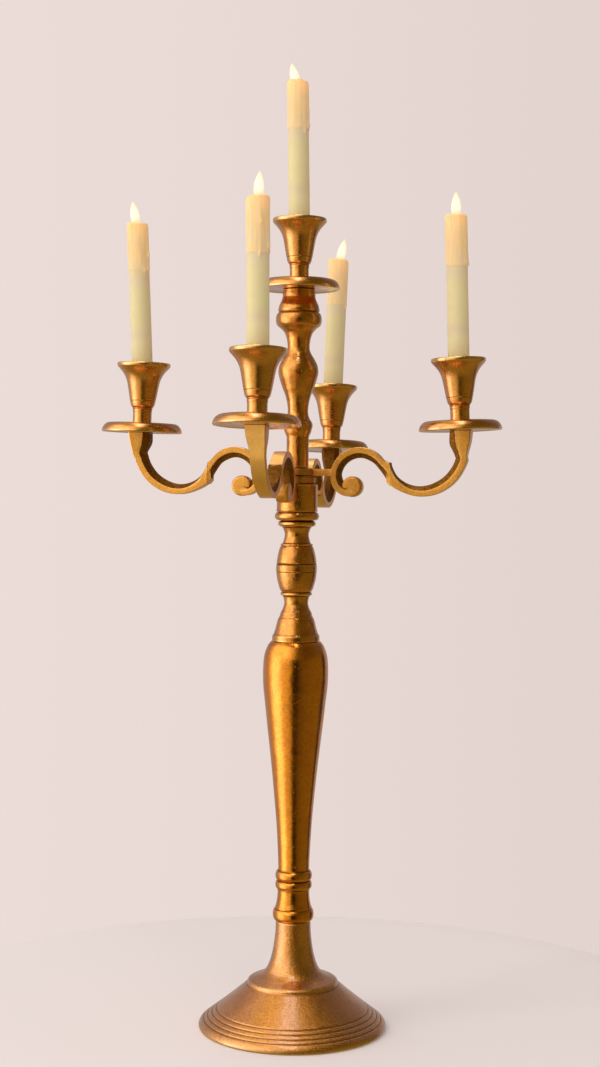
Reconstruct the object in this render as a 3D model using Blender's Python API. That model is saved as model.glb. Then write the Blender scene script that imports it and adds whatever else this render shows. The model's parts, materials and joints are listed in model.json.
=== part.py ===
"""Five-light tabletop candelabra in gilt cast aluminium, with battery candles.

The foot, three stem sections and two pairs of scroll arms are threaded on one tie rod.
Each of the five stations holds a drip pan, a candle cup and the screw that fastens them,
and a battery candle whose flame paddle sways on a pin.

Metres, +Z up. The origin is on the stem's axis, in the plane that the foot rests on.
The left and right arms lie along -X and +X, the front and back arms along -Y and +Y.
"""

import math

import bmesh
import bpy
from mathutils import Matrix, Vector

MM = 0.001
GAP = 0.3  # clearance between touching pieces; this and the outlines below are in millimetres

# ---- driving dimensions, in millimetres ----
FOOT_RADIUS = 93.0
FOOT_TOP = 105.0
FOOT_CEILING = 46.0  # the flat face inside the foot that the washer bears on
ROD_RADIUS = 4.0
ROD_BORE = 4.5
ROD_Z = (30.0, 590.0)
VASE_TOP = 382.3
KNOP_TOP = 538.6
BOSS_HEIGHT = 7.6
BOSS_RADIUS = 18.0
ARM_REACH = 162.5
ARM_WIDTH = 13.4
SEAT_WIDTH = 1.25  # the seat's share of the arm's width
ARM_TILT = math.radians(2.9)  # the front arm is bent up and the back arm down
TILT_FROM = 20.0
SCROLL_EYE = (56.2, -13.9)
STEM_TOP = 732.0
SEAT_SCREW_DEPTH = 22.0
SCREW_RADIUS = 2.5
SCREW_BORE = 2.9
PAN_RADIUS = 41.0
PAN_DISH = 8.6
CUP_BASE = PAN_DISH + 2 * GAP
CUP_RIM = 71.0
SOCKET_FLOOR = 42.6
SOCKET_RADIUS = 12.0
SCREW_SEAT = 37.6
SCREW_HEAD_BORE = 5.4
CANDLE_RADIUS = 11.0
CANDLE_SEAT = SOCKET_FLOOR + 1.2
CAVITY_RADIUS = 9.0
CELL_LENGTH = 44.5
CELL_HEIGHTS = {"battery_upper": 55.6, "battery_lower": 10.6}
FLAME_HOLE = 3.4
PIN_RADIUS = 0.5
PIN_REACH = 6.8

FRONT_BACK_BOSS = KNOP_TOP + GAP + BOSS_HEIGHT / 2
LEFT_RIGHT_BOSS = FRONT_BACK_BOSS + BOSS_HEIGHT + GAP
STEM_BASE = LEFT_RIGHT_BOSS + BOSS_HEIGHT / 2 + GAP

# Each arm's direction about +Z, its boss's height, its tilt, how far its seat leans to the hub,
# and how far the seat is above the boss's mid-plane.
ARMS = {
    "front": (math.radians(-90.6), FRONT_BACK_BOSS, ARM_TILT, 0.0, 40.6),
    "back": (math.radians(90), FRONT_BACK_BOSS, -ARM_TILT, 0.0, 40.6),
    "left": (math.radians(180), LEFT_RIGHT_BOSS, 0.0, math.radians(1.5), 38.8),
    "right": (0.0, LEFT_RIGHT_BOSS, 0.0, math.radians(2.2), 41.3),
}
# Each candle's length, and the depth of its flame's pivot under its rim.
CANDLES = {
    "top": (165.0, 12.0),
    "front": (166.4, 8.5),
    "back": (165.4, 8.5),
    "left": (170.8, 8.5),
    "right": (168.2, 8.5),
}
# How far each candle stands off plumb in its loose socket, and each flame off its candle, towards +X.
CANDLE_LEAN = {"top": -1.2, "front": -0.6, "back": 2.0, "left": -2.7, "right": -1.6}
FLAME_SWAY = {"top": -11.5, "front": 4.0, "back": 12.0, "left": -8.0, "right": 1.0}

# Sides of the turned pieces.
SIDES_FOOT = 32
SIDES_STEM = 20
SIDES_CUP = 16
SIDES_CANDLE = 14
SIDES_SMALL = 8

# ---- colours: base colour, roughness, metallic ----
FINISHES = {
    "gold_foot": ((0.62, 0.42, 0.17), 0.55, 1.0),
    "gold_polished": ((0.80, 0.48, 0.13), 0.30, 1.0),
    "gold_arm": ((0.74, 0.46, 0.16), 0.40, 1.0),
    "gold_cup": ((0.76, 0.47, 0.16), 0.35, 1.0),
    "steel": ((0.62, 0.62, 0.60), 0.35, 1.0),
    "wax": ((0.90, 0.85, 0.66), 0.50, 0.0),
    "flame": ((1.00, 0.90, 0.72), 0.30, 0.0),
    "battery": ((0.16, 0.18, 0.22), 0.40, 0.6),
    "led": ((0.85, 0.85, 0.82), 0.45, 0.0),
    "cap": ((0.88, 0.84, 0.70), 0.50, 0.0),
}


def clear_scene():
    for item in list(bpy.data.objects):
        bpy.data.objects.remove(item, do_unlink=True)


def make_material(name):
    colour, roughness, metallic = FINISHES[name]
    material = bpy.data.materials.new(name)
    material.use_nodes = True
    shader = material.node_tree.nodes["Principled BSDF"]
    shader.inputs["Base Color"].default_value = (*colour, 1.0)
    shader.inputs["Roughness"].default_value = roughness
    shader.inputs["Metallic"].default_value = metallic
    return material


# ---- outlines: lists of (radius, height) in millimetres ----


def curve(knots, steps=2):
    """Points along a smooth line through the knots, with this many steps between two of them."""
    ends = [Vector(knot) for knot in (knots[0], *knots, knots[-1])]
    points = []
    for a, b, c, d in zip(ends, ends[1:], ends[2:], ends[3:]):
        bend, twist = 2 * a - 5 * b + 4 * c - d, 3 * b - a - 3 * c + d
        for step in range(steps):
            t = step / steps
            points.append(tuple((2 * b + (c - a) * t + bend * t**2 + twist * t**3) / 2))
    return [*points, knots[-1]]


def bead(low, high, edge, crown, steps=3):
    """A half-round ring from height low to high, standing from radius edge to crown."""
    middle, half = (low + high) / 2, (high - low) / 2
    angles = [math.pi * (step / steps - 0.5) for step in range(steps + 1)]
    return [(edge + (crown - edge) * math.cos(a), middle + half * math.sin(a)) for a in angles]


def foot_outline():
    rim = [(86.0, 0.0), (91.5, 0.0), (FOOT_RADIUS, 1.5), (FOOT_RADIUS, 4.2), (91.0, 6.6)]
    dome = [(88.4, 8.9), (79.4, 16.2), (72.6, 21.0), (56.0, 34.4), (48.6, 40.8)]
    ledge = [(46.2, 43.2), (45.4, 46.0), (43.4, 47.6)]
    shoulder = [(35.0, 50.4), (29.4, 53.4), (26.8, 56.2)]
    neck = [(25.0, 59.6), (22.7, 65.5), (20.4, 74.5), (18.8, 84.5), (17.4, FOOT_TOP)]
    bore = [(ROD_BORE, FOOT_TOP), (ROD_BORE, FOOT_CEILING)]
    inside = [(30.0, FOOT_CEILING), (40.0, 38.0), (56.0, 27.5), (80.0, 10.5), (86.0, 4.0)]
    return rim + dome + ledge + shoulder + neck + bore + inside


def vase_outline():
    base = FOOT_TOP + GAP
    collar = [(18.0, base), *bead(106.2, 117.2, 18.5, 20.5), (18.2, 118.4)]
    waist = [(16.7, 123.5), (15.9, 129.5), (15.8, 134.5), (16.6, 136.6)]
    rings = bead(137.4, 144.8, 16.4, 18.0) + bead(145.8, 154.6, 16.6, 18.0)
    knots = [(15.5, 156.4), (16.4, 181.5), (20.2, 229.0), (30.8, 323.0), (32.6, 352.0), (31.0, 370.5)]
    shoulder = [(29.2, 375.6), (27.2, 379.4), (25.0, VASE_TOP)]
    top_bore = [(ROD_BORE, VASE_TOP), (ROD_BORE, 374.0)]
    hollow = [(25.0, 371.5), (28.0, 352.0), (20.6, 277.0), (12.0, 181.5), (11.4, 162.0)]
    seat = [(ROD_BORE, 157.0), (ROD_BORE, base)]
    return collar + waist + rings + curve(knots) + shoulder + top_bore + hollow + seat


def knop_outline():
    base = VASE_TOP + GAP
    band = [(23.6, base), (23.4, 388.5), (22.0, 390.5)]
    cone = [(20.0, 396.0), (18.7, 402.0), (17.6, 405.0)]
    waist = [(15.6, 409.0), (13.0, 416.0), (12.0, 420.0), (12.9, 426.0)]
    ring = [(15.2, 429.5), (15.4, 432.5)]
    barrel = [(17.0, 436.0), (19.6, 445.0), (20.4, 455.0), (19.4, 465.0), (16.0, 477.0)]
    neck = [(13.4, 483.0), (12.2, 487.6), (13.8, 494.8)]
    beads = bead(496.8, 502.2, 15.4, 18.6) + bead(503.0, 511.0, 18.8, 22.0)
    drum = [(20.0, 512.0), (20.2, KNOP_TOP), (ROD_BORE, KNOP_TOP), (ROD_BORE, base)]
    return band + cone + waist + ring + barrel + neck + beads + drum


def baluster_outline():
    top_bore = STEM_TOP - SEAT_SCREW_DEPTH
    foot = [(0.0, 596.0), (ROD_BORE, 596.0), (ROD_BORE, STEM_BASE), (11.1, STEM_BASE), (11.1, 586.0)]
    ring = [(12.4, 588.6), (14.6, 594.5), (14.9, 597.5), (12.6, 602.5)]
    belly = [(10.4, 611.0), (11.5, 622.0), (16.4, 637.0), (20.1, 651.0), (16.4, 662.5), (11.4, 673.0)]
    flare = [(11.8, 682.0), (13.9, 689.0), (16.5, 692.0)]
    crown = bead(694.0, 709.5, 19.0, 22.9)
    collar = [(19.7, 716.0), (16.9, 722.0), (16.4, STEM_TOP)]
    screw_hole = [(SCREW_BORE, STEM_TOP), (SCREW_BORE, top_bore), (0.0, top_bore)]
    return foot + ring + curve(belly) + flare + crown + collar + screw_hole


def pan_outline():
    under = [(SCREW_BORE, GAP), (15.0, GAP), (27.0, 1.6), (37.0, GAP)]
    lip = [(40.4, GAP), (PAN_RADIUS, 1.5), (40.0, 4.6), (37.4, 7.8), (34.2, 10.0)]
    dish = [(29.0, 9.8), (15.0, PAN_DISH), (SCREW_BORE, PAN_DISH)]
    return under + lip + dish


def cup_outline():
    neck = [(SCREW_BORE, CUP_BASE), (9.5, CUP_BASE), (9.5, 21.3), (10.2, 24.9), (11.6, 27.3)]
    bell = [(13.2, 31.7), (14.6, 40.5), (16.4, 51.0), (18.0, 55.7), (21.0, 61.0), (26.0, 65.9)]
    rim = [(27.0, 67.7), (27.0, 70.1), (26.0, CUP_RIM)]
    flare = [(20.4, 67.5), (16.6, 62.5), (13.6, 58.5), (SOCKET_RADIUS, 53.5)]
    socket = [(SOCKET_RADIUS, SOCKET_FLOOR), (SCREW_HEAD_BORE, SOCKET_FLOOR)]
    screw_seat = [(SCREW_HEAD_BORE, SCREW_SEAT), (SCREW_BORE, SCREW_SEAT)]
    return neck + bell + rim + flare + socket + screw_seat


def screw_outline():
    low, seat, top = GAP + 2.0 - SEAT_SCREW_DEPTH, SCREW_SEAT + GAP, SOCKET_FLOOR - 0.6
    shank = [(0.0, low), (SCREW_RADIUS, low + 1.0), (SCREW_RADIUS, seat)]
    return [*shank, (4.6, seat), (4.6, top - 0.8), (3.6, top), (0.0, top)]


def candle_outline(length, pivot):
    """The shell, with the dish in its top that the flame stands in and the hollow below it."""
    foot = [(CAVITY_RADIUS, 0.0), (10.2, 0.0), (CANDLE_RADIUS, 0.8)]
    rim = [(CANDLE_RADIUS, length - 1.8), (10.2, length - 0.2), (9.3, length)]
    dish = [(8.2, pivot + 6.9), (6.4, pivot + 4.5), (FLAME_HOLE, pivot + 3.7)]
    return foot + rim + dish + [(FLAME_HOLE, pivot - 3.5), (CAVITY_RADIUS, pivot - 4.5)]


def led_outline():
    body = [(0.0, 100.6), (8.2, 100.6), (8.2, 126.0), (5.0, 127.5)]
    return [*body, (2.6, 129.0), (2.4, 132.0), (0.0, 133.4)]


def cell_outline(low):
    high = low + CELL_LENGTH
    sleeve = [(0.0, low), (5.25, low), (5.25, high - 1.2)]
    return [*sleeve, (1.9, high - 1.2), (1.9, high), (0.0, high)]


def cap_outline():
    disc = [(0.0, 0.4), (7.6, 0.4), (8.5, 1.0)]
    skirt = [(8.5, 9.0), (7.4, 9.0), (6.8, 3.4)]
    return disc + skirt + [(2.2, 3.4), (1.6, 9.6), (0.0, 9.6)]


# ---- meshes ----


def turned_mesh(name, outline, sides):
    """A closed body turned about Z from an outline that runs up its outer side, and down its inner side."""
    mesh = bmesh.new()
    rings = []
    for radius, height in outline:
        if radius == 0.0:
            rings.append([mesh.verts.new((0.0, 0.0, height * MM))])
            continue
        angles = [2 * math.pi * side / sides for side in range(sides)]
        place = [(radius * MM * math.cos(a), radius * MM * math.sin(a), height * MM) for a in angles]
        rings.append([mesh.verts.new(point) for point in place])
    pairs = list(zip(rings, rings[1:]))
    if len(rings[0]) > 1:
        pairs.append((rings[-1], rings[0]))
    for lower, upper in pairs:
        join_rings(mesh, lower, upper)
    return finished_mesh(name, mesh)


def join_rings(mesh, lower, upper):
    count = max(len(lower), len(upper))
    for side in range(count):
        after = (side + 1) % count
        corners = [lower[side % len(lower)]]
        if len(lower) > 1:
            corners.append(lower[after])
        corners.append(upper[after % len(upper)])
        if len(upper) > 1:
            corners.append(upper[side])
        mesh.faces.new(corners)


def finished_mesh(name, mesh):
    bmesh.ops.recalc_face_normals(mesh, faces=mesh.faces)
    data = bpy.data.meshes.new(name)
    mesh.to_mesh(data)
    mesh.free()
    data.shade_smooth()
    data.set_sharp_from_angle(angle=math.radians(32))
    return data


def rung_angles(first, last, steps):
    return [math.radians(first + (last - first) * step / steps) for step in range(steps + 1)]


def blended(value, knots):
    """The value between (position, value) knots, on straight lines."""
    for (low, first), (high, last) in zip(knots, knots[1:]):
        if value <= high:
            return first + (last - first) * (value - low) / (high - low)
    return knots[-1][1]


def polar(centre, angle, radius):
    return (centre[0] + radius * math.cos(angle), centre[1] + radius * math.sin(angle))


def arm_rungs():
    """Stations along the scroll, each a pair of points (distance from the stem's axis, height above
    the boss's mid-plane) on its two edges, with the share of the full width that each edge has.
    The casting is narrower on the hollow side of each bend."""
    scroll_centre, bowl_centre = (63.5, -3.6), (121.5, 19.8)
    outer_scroll = [(40.0, 28.0), (60.0, 28.6), (202.0, 28.6), (226.0, 25.6), (248.0, 21.4)]
    inner_scroll = [(40.0, 19.2), (60.0, 18.2), (120.0, 18.2), (176.0, 19.0), (200.0, 17.4), (248.0, 12.0)]
    outer_bowl = [(227.0, 42.7), (250.0, 41.8), (270.0, 42.7), (307.0, 44.2), (340.0, 46.4), (352.0, 48.0)]
    inner_bowl = [(203.0, 31.2), (225.0, 32.5), (300.0, 32.7), (330.0, 34.2), (352.0, 36.0)]
    rungs = []
    for angle in rung_angles(248.0, 40.0, 16):
        outer, inner = (blended(math.degrees(angle), knots) for knots in (outer_scroll, inner_scroll))
        rungs.append((polar(scroll_centre, angle, outer), polar(scroll_centre, angle, inner), 1.0, 0.55))
    rungs.append(((92.4, 10.2), (92.4, -12.2), 1.0, 1.0))
    rungs.append((polar(bowl_centre, math.radians(208.0), 31.5), (93.4, -11.6), 0.6, 0.95))
    for angle in rung_angles(226.0, 352.0, 10):
        outer, inner = (blended(math.degrees(angle), knots) for knots in (outer_bowl, inner_bowl))
        rungs.append((polar(bowl_centre, angle, inner), polar(bowl_centre, angle, outer), 0.55, 0.9))
    rungs.append(((156.6, 21.0), (169.8, 19.6), 0.95, 0.95))
    rungs.append(((153.4, 26.6), (171.6, 26.2), 1.05, 1.05))
    return rungs


def arm_mesh(name, lean, rise):
    """One scroll arm along +X, with its seat on top, as one closed sweep."""
    half = ARM_WIDTH / 2
    slope = math.tan(lean)
    seat_edges = [(edge, rise + (edge - ARM_REACH) * slope) for edge in (152.6, 174.0)]
    mesh = bmesh.new()
    rings = []
    for first, second, first_width, second_width in [*arm_rungs(), (*seat_edges, SEAT_WIDTH, SEAT_WIDTH)]:
        start, end = Vector((first[0], 0.0, first[1])), Vector((second[0], 0.0, second[1]))
        middle = max(1.0, first_width)
        side = [(0.0, first_width), (0.4, middle), (0.6, middle), (1.0, second_width)]
        section = side + [(along, -share) for along, share in reversed(side)]
        points = [start.lerp(end, along) + Vector((0.0, share * half, 0.0)) for along, share in section]
        rings.append([mesh.verts.new(point * MM) for point in points])
    for lower, upper in zip(rings, rings[1:]):
        join_rings(mesh, lower, upper)
    mesh.faces.new(rings[0])
    mesh.faces.new(rings[-1])
    return finished_mesh(name, mesh)


def block_mesh(name, low, high):
    mesh = bmesh.new()
    bmesh.ops.create_cube(mesh, size=1.0)
    size = [(b - a) * MM for a, b in zip(low, high)]
    middle = [(a + b) / 2 * MM for a, b in zip(low, high)]
    bmesh.ops.scale(mesh, vec=size, verts=mesh.verts)
    bmesh.ops.translate(mesh, vec=middle, verts=mesh.verts)
    return finished_mesh(name, mesh)


def flame_mesh(name):
    """Paddle, neck with its eye, and the magnet slug that keeps it upright; the pivot is the origin."""
    slug = [(0.0, -18.0, 1.0), (3.0, -17.4, 1.0), (3.0, -8.0, 1.0), (1.5, -7.0, 1.0)]
    eye = [(1.5, -2.6, 1.0), (2.2, -1.0, 1.0), (2.2, 1.0, 1.0), (1.3, 3.4, 0.8)]
    blade = [(3.2, 6.0, 0.5), (4.5, 9.6, 0.36), (4.9, 14.4, 0.36), (4.3, 19.6, 0.36), (3.0, 24.6, 0.36)]
    mesh = bmesh.new()
    rings = []
    for radius, height, depth in [*slug, *eye, *blade, (1.4, 28.8, 0.4), (0.0, 31.0, 1.0)]:
        if radius == 0.0:
            rings.append([mesh.verts.new((0.0, 0.0, height * MM))])
            continue
        angles = [2 * math.pi * side / SIDES_SMALL for side in range(SIDES_SMALL)]
        place = [(radius * math.cos(a), radius * depth * math.sin(a), height) for a in angles]
        rings.append([mesh.verts.new(Vector(point) * MM) for point in place])
    for lower, upper in zip(rings, rings[1:]):
        join_rings(mesh, lower, upper)
    return finished_mesh(name, mesh)


# ---- objects ----


def place(name, mesh, parent=None, matrix=None, finish=None):
    item = bpy.data.objects.new(name, mesh)
    bpy.context.scene.collection.objects.link(item)
    item.parent = parent
    item.matrix_local = matrix or Matrix.Identity(4)
    if finish:
        mesh.materials.clear()
        mesh.materials.append(FINISH[finish])
    return item


def cutter(name, mesh, parent=None, matrix=None):
    item = place(name, mesh, parent, matrix)
    item.hide_render = True
    item.display_type = "WIRE"
    return item


def boolean(item, other, operation):
    modifier = item.modifiers.new(other.name, "BOOLEAN")
    modifier.object = other
    modifier.operation = operation
    modifier.solver = "EXACT"


def empty(name, parent=None, matrix=None):
    item = bpy.data.objects.new(name, None)
    bpy.context.scene.collection.objects.link(item)
    item.parent = parent
    item.matrix_local = matrix or Matrix.Identity(4)
    return item


def move(x=0.0, y=0.0, z=0.0):
    return Matrix.Translation(Vector((x, y, z)) * MM)


def turn(angle, axis):
    return Matrix.Rotation(angle, 4, axis)


def arm_matrix(side):
    """From the arm's own frame, with its boss at the origin and its reach along +X, to the world."""
    azimuth, boss, tilt = ARMS[side][:3]
    return turn(azimuth, "Z") @ move(z=boss) @ move(x=TILT_FROM) @ turn(-tilt, "Y") @ move(x=-TILT_FROM)


def seat_matrix(side):
    if side == "top":
        return move(z=STEM_TOP)
    lean, rise = ARMS[side][3:]
    return arm_matrix(side) @ move(x=ARM_REACH, z=rise) @ turn(-lean, "Y")


def make_arm_pair(name, sides):
    """Two scroll arms joined to the boss between them, drilled for the tie rod and the cup screws."""
    half, low, high = ARM_WIDTH / 2, -BOSS_HEIGHT / 2, BOSS_HEIGHT / 2
    ring = [(ROD_BORE, low), (BOSS_RADIUS, low), (BOSS_RADIUS, high), (ROD_BORE, high)]
    face = 0.94 * half
    ball = [(0.0, -face), (7.4, -face), (10.2, -2.4), (10.2, 2.4), (7.4, face), (0.0, face)]
    drill = [(0.0, -SEAT_SCREW_DEPTH), (SCREW_BORE, -SEAT_SCREW_DEPTH), (SCREW_BORE, 4.0), (0.0, 4.0)]
    pair = place(name, turned_mesh(name, ring, SIDES_STEM), None, move(z=ARMS[sides[0]][1]), "gold_arm")
    ball_mesh = turned_mesh("scroll_ball", ball, SIDES_CANDLE)
    drill_mesh = turned_mesh("screw_drill", drill, SIDES_SMALL)
    bar_mesh = block_mesh("bar", (12.0, 0.5 - half, low + 0.2), (TILT_FROM, half - 0.5, high - 0.2))
    link_mesh = block_mesh("link", (TILT_FROM - 1.0, 0.8 - half, low + 0.4), (42.0, half - 0.8, high - 0.4))
    for side in sides:
        azimuth, boss, _, lean, rise = ARMS[side]
        level, tilted = turn(azimuth, "Z") @ move(z=boss), arm_matrix(side)
        eye = tilted @ move(x=SCROLL_EYE[0], z=SCROLL_EYE[1]) @ turn(math.pi / 2, "X")
        boolean(pair, cutter(f"bar_{side}", bar_mesh, None, level), "UNION")
        boolean(pair, cutter(f"link_{side}", link_mesh, None, tilted), "UNION")
        scroll = cutter(f"scroll_{side}", arm_mesh(f"scroll_{side}", lean, rise), None, tilted)
        boolean(pair, scroll, "UNION")
        boolean(pair, cutter(f"ball_{side}", ball_mesh, None, eye), "UNION")
        boolean(pair, cutter(f"drill_{side}", drill_mesh, None, seat_matrix(side)), "DIFFERENCE")


def make_stem():
    place("base", turned_mesh("base", foot_outline(), SIDES_FOOT), finish="gold_foot")
    place("lower_stem", turned_mesh("lower_stem", vase_outline(), SIDES_STEM), finish="gold_polished")
    place("middle_stem", turned_mesh("middle_stem", knop_outline(), SIDES_STEM), finish="gold_polished")
    place("upper_stem", turned_mesh("upper_stem", baluster_outline(), SIDES_CUP), finish="gold_polished")


def cylinder(radius, low, high):
    """The outline of a plain rod."""
    return [(0.0, low), (radius, low), (radius, high), (0.0, high)]


def make_fixings():
    low, high = ROD_Z
    rod = [(0.0, low), (ROD_RADIUS - 0.6, low), (ROD_RADIUS, low + 0.8), (ROD_RADIUS, high), (0.0, high)]
    washer_top = FOOT_CEILING - GAP
    washer_low = washer_top - 1.6
    washer = [(ROD_BORE, washer_low), (12.0, washer_low), (12.0, washer_top), (ROD_BORE, washer_top)]
    nut_top = washer_low - GAP
    nut_low = nut_top - 6.5
    place("tie_rod", turned_mesh("tie_rod", rod, SIDES_SMALL), finish="steel")
    place("base_washer", turned_mesh("base_washer", washer, SIDES_CANDLE), finish="steel")
    hexagon = place("base_nut", turned_mesh("base_nut", cylinder(7.5, nut_low, nut_top), 6), finish="steel")
    nut_bore = turned_mesh("nut_bore", cylinder(ROD_BORE, nut_low - 1.5, nut_top + 1.5), SIDES_CANDLE)
    boolean(hexagon, cutter("nut_bore", nut_bore), "DIFFERENCE")


def make_cups(seats):
    parts = (
        ("drip_pan", turned_mesh("drip_pan", pan_outline(), SIDES_CUP), "gold_cup"),
        ("candle_cup", turned_mesh("candle_cup", cup_outline(), SIDES_CUP), "gold_cup"),
        ("cup_screw", turned_mesh("cup_screw", screw_outline(), SIDES_SMALL), "steel"),
    )
    for side, seat in seats.items():
        for kind, mesh, finish in parts:
            place(f"{kind}_{side}", mesh, seat, None, finish)


def make_candles(seats):
    across = turn(math.pi / 2, "X")
    bore_reach = PIN_REACH + 0.6
    bore = turned_mesh("pin_bore", cylinder(PIN_RADIUS + GAP, -bore_reach, bore_reach), SIDES_SMALL)
    eye = turned_mesh("flame_eye", cylinder(PIN_RADIUS + 0.35, -4.0, 4.0), SIDES_SMALL)
    slot = block_mesh("coin_slot", (-6.0, -0.9, -2.0), (6.0, 0.9, 2.0))
    flame = flame_mesh("flame")
    pin = turned_mesh("flame_pin", cylinder(PIN_RADIUS, -PIN_REACH, PIN_REACH), SIDES_SMALL)
    cap = turned_mesh("battery_cap", cap_outline(), SIDES_CANDLE)
    led = turned_mesh("led_module", led_outline(), SIDES_SMALL)
    cells = {name: turned_mesh(name, cell_outline(low), SIDES_SMALL) for name, low in CELL_HEIGHTS.items()}
    for side, seat in seats.items():
        foot = seat.matrix_world @ Vector((0.0, 0.0, CANDLE_SEAT * MM))
        lean = turn(math.radians(CANDLE_LEAN[side]), "Y")
        candle = empty(f"candle_{side}", None, Matrix.Translation(foot) @ lean)
        length, depth = CANDLES[side]
        pivot = move(z=length - depth)
        shell = turned_mesh(f"candle_shell_{side}", candle_outline(length, length - depth), SIDES_CANDLE)
        body = place(f"candle_shell_{side}", shell, candle, None, "wax")
        boolean(body, cutter(f"pin_bore_{side}", bore, candle, pivot @ across), "DIFFERENCE")
        place(f"led_module_{side}", led, candle, None, "led")
        for name, cell in cells.items():
            place(f"{name}_{side}", cell, candle, None, "battery")
        lid = place(f"battery_cap_{side}", cap, candle, None, "cap")
        boolean(lid, cutter(f"coin_slot_{side}", slot, candle), "DIFFERENCE")
        place(f"flame_pin_{side}", pin, candle, pivot @ across, "steel")
        swayed = pivot @ turn(math.radians(FLAME_SWAY[side]), "Y")
        paddle = place(f"flame_{side}", flame, candle, swayed, "flame")
        boolean(paddle, cutter(f"flame_eye_{side}", eye, candle, swayed @ across), "DIFFERENCE")


def main():
    make_stem()
    make_fixings()
    make_arm_pair("arm_pair_front_back", ("front", "back"))
    make_arm_pair("arm_pair_left_right", ("left", "right"))
    seats = {side: empty(f"seat_{side}", None, seat_matrix(side)) for side in ("top", *ARMS)}
    bpy.context.view_layer.update()
    make_cups(seats)
    make_candles(seats)


clear_scene()
FINISH = {name: make_material(name) for name in FINISHES}
main()
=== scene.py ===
import json
import math
from math import cos, pi, radians, sin

import bmesh
import bpy
import numpy as np
from mathutils import Matrix, Vector, noise
from mathutils.kdtree import KDTree

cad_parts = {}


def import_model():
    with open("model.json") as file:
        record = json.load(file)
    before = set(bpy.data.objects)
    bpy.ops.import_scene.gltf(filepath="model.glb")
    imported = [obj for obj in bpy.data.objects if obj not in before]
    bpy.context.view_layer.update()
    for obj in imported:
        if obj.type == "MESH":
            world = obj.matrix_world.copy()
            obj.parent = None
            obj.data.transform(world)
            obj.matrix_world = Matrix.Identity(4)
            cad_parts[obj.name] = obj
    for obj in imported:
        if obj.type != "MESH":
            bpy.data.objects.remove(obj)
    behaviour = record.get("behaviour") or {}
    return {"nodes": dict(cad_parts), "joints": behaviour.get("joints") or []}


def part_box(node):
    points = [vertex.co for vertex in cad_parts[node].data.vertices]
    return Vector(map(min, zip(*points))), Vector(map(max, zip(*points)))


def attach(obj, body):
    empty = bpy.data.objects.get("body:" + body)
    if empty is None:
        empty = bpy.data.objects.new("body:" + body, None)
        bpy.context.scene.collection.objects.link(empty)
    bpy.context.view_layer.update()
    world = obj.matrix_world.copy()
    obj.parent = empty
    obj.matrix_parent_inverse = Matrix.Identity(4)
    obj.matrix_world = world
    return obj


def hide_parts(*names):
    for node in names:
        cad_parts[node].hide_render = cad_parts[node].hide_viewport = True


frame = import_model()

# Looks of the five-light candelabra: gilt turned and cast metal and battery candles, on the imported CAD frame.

MM = 0.001
SIDES = ("top", "front", "back", "left", "right")
NODES = frame["nodes"]
JOINTS = {joint["name"]: joint for joint in frame["joints"]}
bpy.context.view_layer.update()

# ---- camera and studio, metres and degrees ----
CAMERA_AZIMUTH = 12.8
CAMERA_DISTANCE = 1.731
CAMERA_HEIGHT = 0.533
CAMERA_LENS = 58.7
CAMERA_SHIFT = -0.0408
CAMERA_YAW = -0.09
CAMERA_ROLL = 0.55
# painted light: the wall that the viewer sees is lighter at the left, as if lit from there
WALL_COLOURS = ((0.835, 0.72, 0.69), (0.765, 0.655, 0.62))  # at the left and the right of the view
FLOOR_RADIUS = 0.45
FLOOR_DEPTH = 0.03
FLOOR_ROUNDING = 0.006
LIGHT_AIM = 0.45  # the height that the lights point at

# ---- dimensions that the outlines share with the CAD, millimetres ----
GAP = 0.3
ROD_BORE = 4.5
SCREW_BORE = 2.9
FOOT_CEILING = 46
PAN_DISH = 8.6
CUP_BASE = PAN_DISH + 2 * GAP
CUP_RIM = 71
SOCKET_FLOOR = 42.6
SOCKET_RADIUS = 12
SCREW_SEAT = 37.6
SCREW_HEAD_BORE = 5.4
ARM_WIDTH = 13.4
ARM_REACH = 162.5
ARM_RISES = {"front": 40.6, "back": 40.6, "left": 38.8, "right": 41.3}
TILT_FROM = 20
BOSS_RADIUS = 18
SEAT_SCREW_DEPTH = 22
CAVITY_RADIUS = 9
FLAME_HOLE = 3.4

# ---- how finely outlines are drawn, millimetres and degrees ----
BEAD_STEPS = 12
CORNER_STEPS = 3
CORNER_TURN = 14  # corners that turn by less than this stay as they are
CORNER_SHARE = 0.42  # the share of a stretch that a rounded corner may take up
LONGEST_STRETCH = 2.5
RECESS_REACH = 1.4  # the distance over which a point is compared with its surroundings
RECESS_DEPTH = 0.3  # the depth that counts as fully recessed


def ends_of(node):
    """The heights in millimetres of a node's lowest and highest points."""
    return [corner.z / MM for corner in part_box(node)]


# ---- outlines: lists of (radius, height) in millimetres ----


def between(a, b, t):
    """The point at share t of the way from a to b."""
    return (a[0] + (b[0] - a[0]) * t, a[1] + (b[1] - a[1]) * t)


def smooth(t):
    """A smooth rise from 0 to 1 as t goes from 0 to 1."""
    t = min(1, max(0, t))
    return t * t * (3 - 2 * t)


def spline(knots, steps=8):
    """Points along a smooth line through the knots."""
    ends = [knots[0], *knots, knots[-1]]
    points = []
    for before, start, end, after in zip(ends, ends[1:], ends[2:], ends[3:]):
        b, c, d, e = (np.array(p, float) for p in (before, start, end, after))
        for t in np.arange(steps) / steps:
            bend = (2 * b - 5 * c + 4 * d - e) * t**2 + (3 * c - b - 3 * d + e) * t**3
            points.append(tuple(0.5 * (2 * c + (d - b) * t + bend)))
    return [*points, tuple(knots[-1])]


def bead(low, high, edge, crown):
    """A half-round ring from height low to high, standing from radius edge to crown."""
    angles = np.linspace(-0.5, 0.5, BEAD_STEPS + 1) * pi
    middle, half = (low + high) / 2, (high - low) / 2
    return [(edge + (crown - edge) * cos(a), middle + half * sin(a)) for a in angles]


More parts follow.
